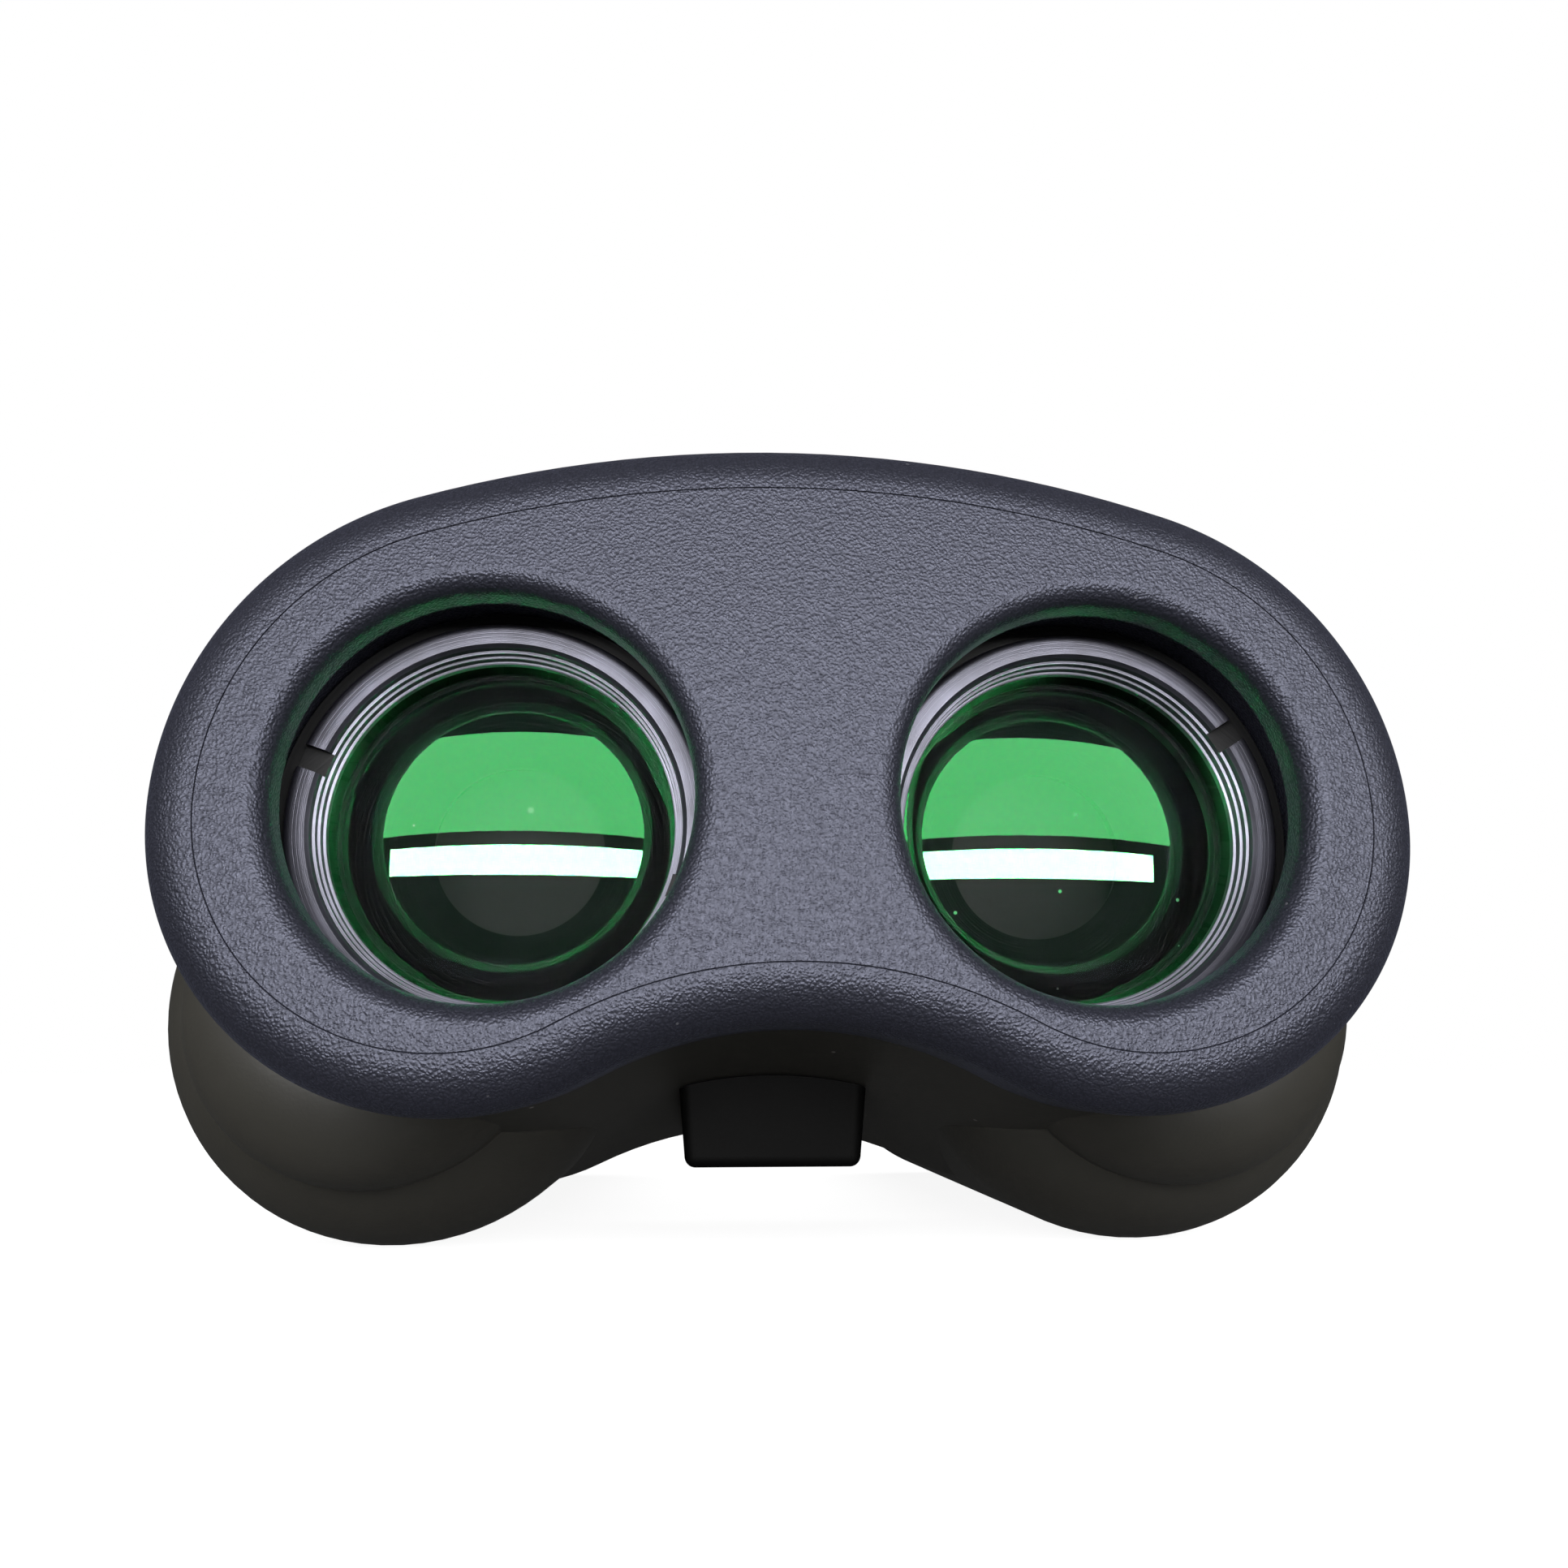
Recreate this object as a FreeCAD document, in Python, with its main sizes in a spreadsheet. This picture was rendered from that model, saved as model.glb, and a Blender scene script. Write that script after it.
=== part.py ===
import FreeCAD, Part
import math
import os
import Sketcher
from FreeCAD import Placement, Rotation, Vector

# Optical head of a coin operated viewer: a fixed pair of prism binoculars with a moulded face pad,
# a cast housing, a coin shutter between the eyepieces and the prisms, and a block to bolt it down by.
#
# Frame: +X to the viewer's right, +Y the way the viewer looks, +Z up. The origin is on the surface
# that the barrels stand on, midway between them and midway along the head.
# "Depth" is the distance behind the front of the face pad. "Height" is above the eyepiece axes
# unless a comment says otherwise.

doc = FreeCAD.newDocument("ViewerHead")
sheet = doc.addObject("Spreadsheet::Sheet", "Sizes")


class Size:
    """A number together with the expression that ties it to the sheet."""

    def __init__(self, number, text):
        self.number = number
        self.text = text

    def __add__(self, other):
        other = as_size(other)
        return Size(self.number + other.number, f"({self.text} + {other.text})")

    def __sub__(self, other):
        other = as_size(other)
        return Size(self.number - other.number, f"({self.text} - {other.text})")

    def __mul__(self, other):
        other = as_size(other)
        return Size(self.number * other.number, f"({self.text} * {other.text})")

    def __truediv__(self, other):
        other = as_size(other)
        return Size(self.number / other.number, f"({self.text} / {other.text})")

    def __neg__(self):
        return Size(-self.number, f"(-1 * {self.text})")

    __radd__ = __add__
    __rmul__ = __mul__

    def __rsub__(self, other):
        return as_size(other) - self


def as_size(value):
    return value if isinstance(value, Size) else Size(float(value), f"({float(value):.6f})")


def root(value):
    return Size(math.sqrt(value.number), f"sqrt({value.text})")


def driving(alias, number):
    """Writes one driving dimension, in millimetres or degrees, into the sheet."""
    driving.row += 1
    sheet.set(f"A{driving.row}", alias)
    sheet.set(f"B{driving.row}", str(number))
    sheet.setAlias(f"B{driving.row}", alias)
    return Size(float(number), f"Sizes.{alias}")


driving.row = 0

# ---- driving dimensions -------------------------------------------------------------------------

overall_length = driving("overall_length", 180)       # face pad front to hood front
eye_spacing = driving("eye_spacing", 66)              # between the two eyepiece axes
prism_shift = driving("prism_shift", 18.5)            # how far each prism moves the light sideways
barrel_radius = driving("barrel_radius", 32)          # outside of the objective barrels
wall = driving("wall", 3)                             # casting wall of the housing
gap = driving("gap", 0.1)                             # radial gap of parts that slide together

pad_depth = driving("pad_depth", 16)
pad_cheek = driving("pad_cheek", 31.8)                # arc round each lower cheek
pad_cheek_offset = driving("pad_cheek_offset", 3.7)   # cheek centre outside the eyepiece axis
pad_shoulder = driving("pad_shoulder", 37.6)          # arc over each shoulder
pad_top = driving("pad_top", 42.5)                    # top of the pad above the eyepiece axes
pad_notch = driving("pad_notch", 22.6)                # nose notch, below the eyepiece axes
pad_rounding = driving("pad_rounding", 6.8)
pad_back_rounding = driving("pad_back_rounding", 1.5)
pad_inset = driving("pad_inset", 2)                   # housing edge inside the pad edge
well_radius = driving("well_radius", 22)              # lip of each eye well
well_rise = driving("well_rise", 1.6)                 # well centre above the eyepiece axis
well_rounding = driving("well_rounding", 2.9)
well_lip = driving("well_lip", 5.5)                   # thickness of the lip

eye_ring_depth = driving("eye_ring_depth", 11.35)
ring_cover = driving("ring_cover", 1.7)               # how far the ring covers the eye lens
ring_wall = driving("ring_wall", 2.2)                 # how far the ring's head stands past the lens
eye_ring_head = driving("eye_ring_head", 2)
eye_ring_length = driving("eye_ring_length", 4.6)
eye_ring_rounding = driving("eye_ring_rounding", 0.9)
ring_slot = driving("ring_slot", 2.7)                 # width of the spanner slots
ring_slot_depth = driving("ring_slot_depth", 1.4)
left_slot_angle = driving("left_slot_angle", 161)
right_slot_angle = driving("right_slot_angle", 32)

eyepiece_tube = driving("eyepiece_tube", 23.9)
eyepiece_wall = driving("eyepiece_wall", 2.4)         # tube wall round the eye lens
field_wall = driving("field_wall", 3.4)               # tube wall round the field lens
eye_lens_radius = eyepiece_tube - eyepiece_wall - gap
eye_ring_bore = eye_lens_radius - ring_cover
eye_ring_radius = eye_lens_radius + ring_wall
field_bore = eyepiece_tube - field_wall
eye_lens_edge = driving("eye_lens_edge", 4)
eye_lens_front_curve = driving("eye_lens_front_curve", 70)
eye_lens_back_curve = driving("eye_lens_back_curve", 260)
flange_step = driving("flange_step", 1.3)
eyepiece_flange = eyepiece_tube + flange_step
eyepiece_length = driving("eyepiece_length", 24.7)
seat_lip = driving("seat_lip", 2)                     # lip between the eye lens and the spacer
seat_width = driving("seat_width", 2.4)
seat_bore = eye_lens_radius - seat_width
spacer_length = driving("spacer_length", 4)
spacer_wall = driving("spacer_wall", 2)
field_lens_edge = driving("field_lens_edge", 4)
field_lens_front_curve = driving("field_lens_front_curve", 75)
field_lens_back_curve = driving("field_lens_back_curve", 95)
stop_radius = driving("stop_radius", 8.4)             # field stop and prism windows
stop_ring_length = driving("stop_ring_length", 5)
stop_ring_disc = driving("stop_ring_disc", 2)
locknut_wall = driving("locknut_wall", 1.6)
locknut_radius = eyepiece_tube + locknut_wall
locknut_length = driving("locknut_length", 5)
locknut_notch = driving("locknut_notch", 3)

front_plate_thickness = driving("front_plate_thickness", 4)
front_plate_gap = driving("front_plate_gap", 0.7)

housing_depth = driving("housing_depth", 87)          # depth of the housing's far end
end_wall = driving("end_wall", 5)
neck_drop = driving("neck_drop", 12)                  # cheek centres at the far end, below the eyepieces
neck_end_cheek = driving("neck_end_cheek", 33)
neck_end_shoulder = driving("neck_end_shoulder", 38)
neck_end_offset = driving("neck_end_offset", 7)
neck_end_top = driving("neck_end_top", 38)
neck_end_notch = driving("neck_end_notch", 36)
dome_radius = driving("dome_radius", 23)
dome_front = driving("dome_front", 22)
dome_rounding = driving("dome_rounding", 16)
dome_end = driving("dome_end", 39)
bell_end = driving("bell_end", 60)                    # depth where the bell reaches the barrel radius
boss_radius = driving("boss_radius", 3)
shoulder_boss_radius = driving("shoulder_boss_radius", 3.4)
boss_length = driving("boss_length", 8)
top_boss_spacing = driving("top_boss_spacing", 16)
screw_head_radius = driving("screw_head_radius", 2.1)
top_screw_gap = driving("top_screw_gap", 0.4)         # top screw heads below the casting's wall
top_boss_height = pad_top - pad_inset - wall - screw_head_radius - top_screw_gap
plate_web = driving("plate_web", 0.7)                 # front plate left below its lowest screw
low_boss_drop = (pad_notch - pad_inset - wall - front_plate_gap - plate_web - gap
                 - screw_head_radius)
shoulder_boss_x = driving("shoulder_boss_x", 34)
shoulder_boss_z = driving("shoulder_boss_z", 29.8)

prism_width = driving("prism_width", 18.5)
prism_plate_depth = driving("prism_plate_depth", 60)
prism_plate_thickness = driving("prism_plate_thickness", 3)
prism_flat = driving("prism_flat", 1.5)               # flat ground along each prism's ridge
strap_thickness = driving("strap_thickness", 0.5)
strap_width = driving("strap_width", 7)
strap_foot = driving("strap_foot", 3.8)
pillar_radius = driving("pillar_radius", 2.75)
high_pillar_x = driving("high_pillar_x", 16)
high_pillar_z = driving("high_pillar_z", 29.3)
low_pillar_x = driving("low_pillar_x", 7)
low_pillar_z = driving("low_pillar_z", 14)

blade_depth = driving("blade_depth", 39.3)
blade_thickness = driving("blade_thickness", 0.8)
blade_radius = driving("blade_radius", 9.4)
blade_arm = driving("blade_arm", 8)
hub_radius = driving("hub_radius", 4)
hub_length = driving("hub_length", 3)
shaft_radius = driving("shaft_radius", 1.5)
shaft_gap = driving("shaft_gap", 0.04)
shaft_front = driving("shaft_front", 38.6)
solenoid_radius = driving("solenoid_radius", 10)
solenoid_length = driving("solenoid_length", 16)
solenoid_wall = driving("solenoid_wall", 1)
solenoid_cap = driving("solenoid_cap", 1.5)
rotor_radius = driving("rotor_radius", 4.8)
rotor_length = driving("rotor_length", 9)
coil_gap = driving("coil_gap", 0.4)

barrel_wall = driving("barrel_wall", 2.5)
spigot_wall = driving("spigot_wall", 2.4)
hood_length = driving("hood_length", 28)
hood_wall = driving("hood_wall", 2)
barrel_recess = driving("barrel_recess", 14)          # barrel end behind the hood front
objective_radius = driving("objective_radius", 28.1)
objective_aperture = driving("objective_aperture", 26)
objective_seat = driving("objective_seat", 34)        # lens seat behind the hood front
seat_thickness = driving("seat_thickness", 2)
flint_edge = driving("flint_edge", 7)
crown_edge = driving("crown_edge", 2.5)
cement_curve = driving("cement_curve", 90)
crown_curve = driving("crown_curve", 110)
seal_thickness = driving("seal_thickness", 0.6)
seal_gap = driving("seal_gap", 0.05)
objective_ring_length = driving("objective_ring_length", 4)

block_front = driving("block_front", 47.4)
block_end = driving("block_end", 85)
block_half_top = driving("block_half_top", 13.4)
block_half_base = driving("block_half_base", 11.8)
block_base_drop = driving("block_base_drop", 39.8)
block_gap = driving("block_gap", 0.3)
block_rounding = driving("block_rounding", 1.5)
block_screw_radius = driving("block_screw_radius", 2.5)
block_screw_front = driving("block_screw_front", 56)
block_screw_back = driving("block_screw_back", 78)
floor_pad_drop = driving("floor_pad_drop", 24)
floor_pad_half = driving("floor_pad_half", 6)
mount_hole_radius = driving("mount_hole_radius", 2)
mount_hole_depth = driving("mount_hole_depth", 5)
mount_spacing_x = driving("mount_spacing_x", 15)
mount_spacing_y = driving("mount_spacing_y", 22)
cable_hole_radius = driving("cable_hole_radius", 4.2)
gland_bore = driving("gland_bore", 3)
gland_flange = driving("gland_flange", 5.4)

# ---- sizes worked out from the driving ones -----------------------------------------------------

half = eye_spacing / 2
objective_x = half + prism_shift
eye_height = barrel_radius + prism_shift              # eyepiece axes above the standing surface
front = -(overall_length / 2)                         # Y of the face pad's front
ZERO = as_size(0)
SIDES = (("left", -1), ("right", 1))

doc.recompute()


# ---- helpers ------------------------------------------------------------------------------------

def bind(item, path, size):
    item.setExpression(path, as_size(size).text)


def place(item, x, y, z):
    """Ties a piece's position to the sheet: x, y behind the pad front, z above the eyepiece axes."""
    bind(item, ".Placement.Base.x", x)
    bind(item, ".Placement.Base.y", front + y)
    bind(item, ".Placement.Base.z", eye_height + z)


def new_body(label, x=ZERO, y=ZERO, z=ZERO):
    body = doc.addObject("PartDesign::Body", label)
    body.Label = label
    place(body, x, y, z)
    return body


def origin_plane(body, role):
    return [item for item in body.Origin.OriginFeatures if item.Role == role][0]


def new_sketch(body, role, offset=None):
    sketch = body.newObject("Sketcher::SketchObject", body.Name + "_sketch")
    sketch.AttachmentSupport = (origin_plane(body, role), [""])
    sketch.MapMode = "FlatFace"
    if offset is not None:
        bind(sketch, ".AttachmentOffset.Base.z", offset)
    return sketch


def fix_point(sketch, geometry, end, x, y):
    """Ties one point of a sketch to the sheet."""
    for kind, size in (("DistanceX", x), ("DistanceY", y)):
        index = sketch.addConstraint(Sketcher.Constraint(kind, -1, 1, geometry, end, size.number))
        bind(sketch, f"Constraints[{index}]", size)


def draw_outline(sketch, corners):
    """Draws a closed outline. A corner is (x, y) or (x, y, radius): the edge that leaves it is then
    an arc, anticlockwise for a positive radius and clockwise for a negative one."""
    corners = [tuple(as_size(value) for value in corner) for corner in corners]
    starts = []
    ends = []
    for index, corner in enumerate(corners):
        following = corners[(index + 1) % len(corners)]
        a = Vector(corner[0].number, corner[1].number, 0)
        b = Vector(following[0].number, following[1].number, 0)
        if len(corner) == 2:
            geometry = sketch.addGeometry(Part.LineSegment(a, b), False)
            starts.append((geometry, 1))
            ends.append((geometry, 2))
            continue
        radius = abs(corner[2].number)
        turn = 1 if corner[2].number > 0 else -1
        chord = b - a
        rise = math.sqrt(max(radius ** 2 - (chord.Length / 2) ** 2, 0))
        centre = (a + b) * 0.5 + Vector(-chord.y, chord.x, 0).normalize() * (rise * turn)
        first, last = (a, b) if turn > 0 else (b, a)
        start_angle = math.atan2(first.y - centre.y, first.x - centre.x)
        end_angle = math.atan2(last.y - centre.y, last.x - centre.x)
        circle = Part.Circle(centre, Vector(0, 0, 1), radius)
        geometry = sketch.addGeometry(Part.ArcOfCircle(circle, start_angle, end_angle), False)
        starts.append((geometry, 1 if turn > 0 else 2))
        ends.append((geometry, 2 if turn > 0 else 1))
        index_radius = sketch.addConstraint(Sketcher.Constraint("Radius", geometry, radius))
        bind(sketch, f"Constraints[{index_radius}]", corner[2] * turn)
    for index, corner in enumerate(corners):
        sketch.addConstraint(Sketcher.Constraint("Coincident", *ends[index - 1], *starts[index]))
        fix_point(sketch, *starts[index], corner[0], corner[1])
    return sketch


def draw_circle(sketch, x, y, radius):
    x, y, radius = as_size(x), as_size(y), as_size(radius)
    circle = Part.Circle(Vector(x.number, y.number, 0), Vector(0, 0, 1), radius.number)
    geometry = sketch.addGeometry(circle, False)
    fix_point(sketch, geometry, 3, x, y)
    index = sketch.addConstraint(Sketcher.Constraint("Radius", geometry, radius.number))
    bind(sketch, f"Constraints[{index}]", radius)
    return sketch


def rectangle(x_low, y_low, x_high, y_high):
    return [(x_low, y_low), (x_high, y_low), (x_high, y_high), (x_low, y_high)]


def turned(label, x, z, corners):
    """A piece of revolution about an axis along Y. Its corners are (radius, depth)."""
    body = new_body(label, x, ZERO, z)
    sketch = draw_outline(new_sketch(body, "XY_Plane"), corners)
    revolution = body.newObject("PartDesign::Revolution", label + "_turning")
    revolution.Profile = (sketch, [""])
    revolution.ReferenceAxis = (sketch, ["V_Axis"])
    revolution.Angle = 360
    sketch.Visibility = False
    return body


def pad_out(body, corners, depth, length, role="XZ_Plane", add=True):
    """Pads or pockets an outline drawn across the head, from one depth over a length behind it."""
    sketch = draw_outline(new_sketch(body, role, -as_size(depth)), corners)
    return extrude(body, sketch, length, add)


def extrude(body, sketch, length, add=True):
    kind = "PartDesign::Pad" if add else "PartDesign::Pocket"
    feature = body.newObject(kind, body.Name + ("_pad" if add else "_pocket"))
    feature.Profile = (sketch, [""])
    bind(feature, ".Length", length)
    feature.Reversed = add
    return feature


def round_pad(body, x, z, radius, depth, length, add=True):
    sketch = draw_circle(new_sketch(body, "XZ_Plane", -as_size(depth)), x, z, radius)
    return extrude(body, sketch, length, add)


def bean(cheek_x, cheek_z, cheek, shoulder, top, notch):
    """The head's outline: one top arc, two shoulders, two cheeks and the nose notch, all tangent."""
    shoulder_x = cheek_x - shoulder + cheek
    rise = top - cheek_z
    top_arc = (shoulder_x * shoulder_x + rise * rise - shoulder * shoulder) / (2 * (rise - shoulder))
    share = top_arc / (top_arc - shoulder)
    top_x = shoulder_x * share
    top_z = top - top_arc + (cheek_z - top + top_arc) * share
    fall = cheek_z - notch
    notch_arc = (cheek_x * cheek_x + fall * fall - cheek * cheek) / (2 * (cheek - fall))
    notch_x = cheek_x * notch_arc / (cheek + notch_arc)
    notch_z = cheek_z + (notch - notch_arc - cheek_z) * cheek / (cheek + notch_arc)
    side_x = cheek_x + cheek
    return [
        (top_x, top_z, top_arc),
        (-top_x, top_z, shoulder),
        (-side_x, cheek_z, cheek),
        (-notch_x, notch_z, -notch_arc),
        (notch_x, notch_z, cheek),
        (side_x, cheek_z, shoulder),
    ]


def pad_outline(inset):
    return bean(half + pad_cheek_offset, ZERO, pad_cheek - inset, pad_shoulder - inset,
                pad_top - inset, -pad_notch + inset)


def neck_outline(depth, inset):
    """Outline of the housing's neck, which grows evenly from the pad to its far end."""
    share = (depth - pad_depth) / (housing_depth - pad_depth)

    def between(start, end):
        return start + (end - start) * share

    return bean(half + between(pad_cheek_offset, neck_end_offset),
                between(ZERO, -neck_drop),
                between(pad_cheek - pad_inset, neck_end_cheek) - inset,
                between(pad_shoulder - pad_inset, neck_end_shoulder) - inset,
                between(pad_top - pad_inset, neck_end_top) - inset,
                between(-pad_notch + pad_inset, -neck_end_notch) + inset)


def finished(body, feature):
    body.Tip = feature
    doc.recompute()
    return body


def edges_at(body, test):
    """Names of the edges of a body's present shape that pass a test."""
    found = []
    for index, edge in enumerate(body.Tip.Shape.Edges, 1):
        if test(edge):
            found.append(f"Edge{index}")
    return found


def fillet(body, names, radius):
    feature = body.newObject("PartDesign::Fillet", body.Name + "_fillet")
    feature.Base = (body.Tip if body.Tip is not feature else feature.BaseFeature, names)
    bind(feature, ".Radius", radius)
    return finished(body, feature)


def rod(name, x, y, z, radius, length, rotation=Rotation()):
    item = doc.addObject("Part::Cylinder", name)
    bind(item, ".Radius", radius)
    bind(item, ".Height", length)
    item.Placement = Placement(Vector(), rotation)
    place(item, as_size(x), as_size(y), as_size(z))
    return item


def minus(label, base, tools):
    """One piece with several others cut from it."""
    for index, tool in enumerate(tools):
        cut = doc.addObject("Part::Cut", f"{label}_cut{index}")
        cut.Base = base
        cut.Tool = tool
        base = cut
    base.Label = label
    return base


def group(label, items):
    compound = doc.addObject("Part::Compound", label)
    compound.Links = items
    compound.Label = label
    return compound


BACKWARDS = Rotation(Vector(1, 0, 0), -90)            # a rod's own axis turned to +Y
FORWARDS = Rotation(Vector(1, 0, 0), 90)              # turned to -Y
DOWN = Rotation(Vector(1, 0, 0), 180)                 # turned to -Z


def screw(name, x, y, z, head_radius, head_length, shank_radius, length, rotation):
    """A socket screw whose head's outer face is at x, y, z and which points along the rotation."""
    head = doc.addObject("Part::Cylinder", name + "_head")
    bind(head, ".Radius", head_radius)
    bind(head, ".Height", head_length)
    shank = doc.addObject("Part::Cylinder", name + "_shank")
    bind(shank, ".Radius", shank_radius)
    bind(shank, ".Height", as_size(head_length) + length)
    socket = doc.addObject("Part::Prism", name + "_socket")
    socket.Polygon = 6
    bind(socket, ".Circumradius", as_size(shank_radius) * 0.9)
    bind(socket, ".Height", as_size(head_length) * 0.6)
    whole = doc.addObject("Part::Fuse", name + "_blank")
    whole.Base = head
    whole.Tool = shank
    cut = doc.addObject("Part::Cut", name)
    cut.Base = whole
    cut.Tool = socket
    cut.Placement = Placement(Vector(), rotation)
    place(cut, as_size(x), as_size(y), as_size(z))
    return cut


pieces = []


def keep(piece):
    pieces.append(piece)
    return piece


# ---- face pad: one soft moulding with two eye wells -----------------------------------------------

chamber_radius = eyepiece_flange + 0.6
pad = new_body("face_pad")
pad_out(pad, pad_outline(ZERO), ZERO, pad_depth)
doc.recompute()


def edge_lies_at(depth):
    return lambda edge: all(abs(point.Point.y - depth) < 0.01 for point in edge.Vertexes)


fillet(pad, edges_at(pad, edge_lies_at(0)), pad_rounding)
fillet(pad, edges_at(pad, edge_lies_at(pad_depth.number)), pad_back_rounding)
for side, sign in SIDES:
    round_pad(pad, sign * half, well_rise, well_radius, ZERO, pad_depth, add=False)
doc.recompute()


def is_well_mouth(edge):
    round_edge = isinstance(edge.Curve, Part.Circle)
    return round_edge and abs(edge.Curve.Center.y) < 0.01 and edge.Curve.Radius < pad_cheek.number - 5


fillet(pad, edges_at(pad, is_well_mouth), well_rounding)
for side, sign in SIDES:
    round_pad(pad, sign * half, ZERO, chamber_radius, well_lip, pad_depth - well_lip, add=False)
keep(pad)

# ---- housing: a casting with a hollow neck and two domed bells that end in the barrel sockets ------

bell_arc = ((barrel_radius - dome_radius) * (barrel_radius - dome_radius)
            + (bell_end - dome_end) * (bell_end - dome_end)) / (2 * (barrel_radius - dome_radius))
bell_centre = barrel_radius - bell_arc
inner_arc = bell_arc - wall
inner_dome = dome_radius - wall
socket_radius = barrel_radius - wall
inner_crease = bell_end - root(inner_arc * inner_arc
                               - (inner_dome - bell_centre) * (inner_dome - bell_centre))
flat_radius = dome_radius - dome_rounding
neck_slope = (neck_end_notch - pad_notch + pad_inset) / (housing_depth - pad_depth)


def floor_height(depth):
    """Underside of the neck at its middle, at a depth."""
    return -(pad_notch - pad_inset + neck_slope * (depth - pad_depth))


def neck_loft(body, end, inset, add=True):
    kind = "PartDesign::AdditiveLoft" if add else "PartDesign::SubtractiveLoft"
    first = new_sketch(body, "XZ_Plane", -pad_depth)
    draw_outline(first, neck_outline(pad_depth, inset))
    last = new_sketch(body, "XZ_Plane", -end)
    draw_outline(last, neck_outline(end, inset))
    feature = body.newObject(kind, body.Name + "_loft")
    feature.Profile = (first, [""])
    feature.Sections = [(last, [""])]
    feature.Ruled = True
    return feature


def bell(body, sign, corners, add=True):
    kind = "PartDesign::Revolution" if add else "PartDesign::Groove"
    sketch = new_sketch(body, "XY_Plane", -prism_shift)
    bind(sketch, ".AttachmentOffset.Base.x", sign * objective_x)
    draw_outline(sketch, corners)
    feature = body.newObject(kind, body.Name + "_bell")
    feature.Profile = (sketch, [""])
    feature.ReferenceAxis = (sketch, ["V_Axis"])
    feature.Angle = 360
    return feature


OUTER_BELL = [
    (ZERO, dome_front),
    (flat_radius, dome_front, dome_rounding),
    (dome_radius, dome_front + dome_rounding),
    (dome_radius, dome_end, bell_arc),
    (barrel_radius, bell_end),
    (barrel_radius, housing_depth),
    (ZERO, housing_depth),
]
INNER_BELL = [
    (ZERO, dome_front + wall),
    (flat_radius, dome_front + wall, dome_rounding - wall),
    (inner_dome, dome_front + dome_rounding),
    (inner_dome, inner_crease, inner_arc),
    (socket_radius, bell_end),
    (socket_radius, housing_depth),
    (ZERO, housing_depth),
]

plate_back = pad_depth + front_plate_thickness
tapped_radius = driving("tapped_radius", 1.25)        # M2.5 screws
tapped_depth = driving("tapped_depth", 7)
BOSSES = [
    (-top_boss_spacing / 2, top_boss_height, boss_radius),
    (top_boss_spacing / 2, top_boss_height, boss_radius),
    (ZERO, -low_boss_drop, boss_radius),
    (-shoulder_boss_x, shoulder_boss_z, shoulder_boss_radius),
    (shoulder_boss_x, shoulder_boss_z, shoulder_boss_radius),
]

housing = new_body("housing")
neck_loft(housing, housing_depth, ZERO)
for side, sign in SIDES:
    bell(housing, sign, OUTER_BELL)
neck_loft(housing, housing_depth - end_wall, wall, add=False)
for x, z, radius in BOSSES:
    round_pad(housing, x, z, radius, plate_back, boss_length)
web_base = floor_height(plate_back) + wall / 4
pad_out(housing, [
    (-boss_radius, web_base),
    (boss_radius, web_base),
    (boss_radius, -low_boss_drop),
    (-boss_radius, -low_boss_drop),
], plate_back, boss_length)
floor_sketch = new_sketch(housing, "YZ_Plane", -floor_pad_half)
floor_front = block_screw_front - boss_length / 2
floor_back = block_screw_back + boss_length / 2
draw_outline(floor_sketch, [
    (floor_front, -floor_pad_drop),
    (floor_front, floor_height(floor_front) + wall / 2),
    (floor_back, floor_height(floor_back) + wall / 2),
    (floor_back, -floor_pad_drop),
])
floor_pad = housing.newObject("PartDesign::Pad", "housing_floor_pad")
floor_pad.Profile = (floor_sketch, [""])
bind(floor_pad, ".Length", floor_pad_half * 2)
for side, sign in SIDES:
    bell(housing, sign, INNER_BELL, add=False)
for x, z, radius in BOSSES:
    round_pad(housing, x, z, tapped_radius, plate_back, tapped_depth, add=False)
for side, sign in SIDES:
    round_pad(housing, sign * half, ZERO, locknut_radius + gap, plate_back,
              locknut_length + gap, add=False)


def drill_down(body, top, length, holes):
    """Round holes straight down from a height: each hole is (x, depth behind the pad, radius)."""
    sketch = new_sketch(body, "XY_Plane", top)
    for x, y, radius in holes:
        draw_circle(sketch, x, y, radius)
    pocket = body.newObject("PartDesign::Pocket", body.Name + "_holes")
    pocket.Profile = (sketch, [""])
    bind(pocket, ".Length", length)
    return pocket


block_middle = (block_front + block_end) / 2
block_screw_holes = [(ZERO, block_screw_front, block_screw_radius),
                     (ZERO, block_screw_back, block_screw_radius)]
drill_down(housing, -floor_pad_drop, neck_end_notch - floor_pad_drop + 1,
           block_screw_holes + [(ZERO, block_middle, cable_hole_radius)])
keep(housing)

# ---- mounting block under the neck ----------------------------------------------------------------

gland_counterbore = driving("gland_counterbore", 1.3)
block = new_body("mounting_block")
pad_out(block, [
    (-block_half_base, -block_base_drop),
    (block_half_base, -block_base_drop),
    (block_half_top, -pad_notch),
    (-block_half_top, -pad_notch),
], block_front, block_end - block_front)
doc.recompute()


def is_block_edge(edge):
    low = all(abs(point.Point.z + block_base_drop.number) < 0.01 for point in edge.Vertexes)
    along_depth = abs(edge.Vertexes[0].Point.y - edge.Vertexes[-1].Point.y) > 1
    upright = not low and not along_depth and abs(edge.Vertexes[0].Point.z
                                                  - edge.Vertexes[-1].Point.z) > 1
    return low or upright


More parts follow.
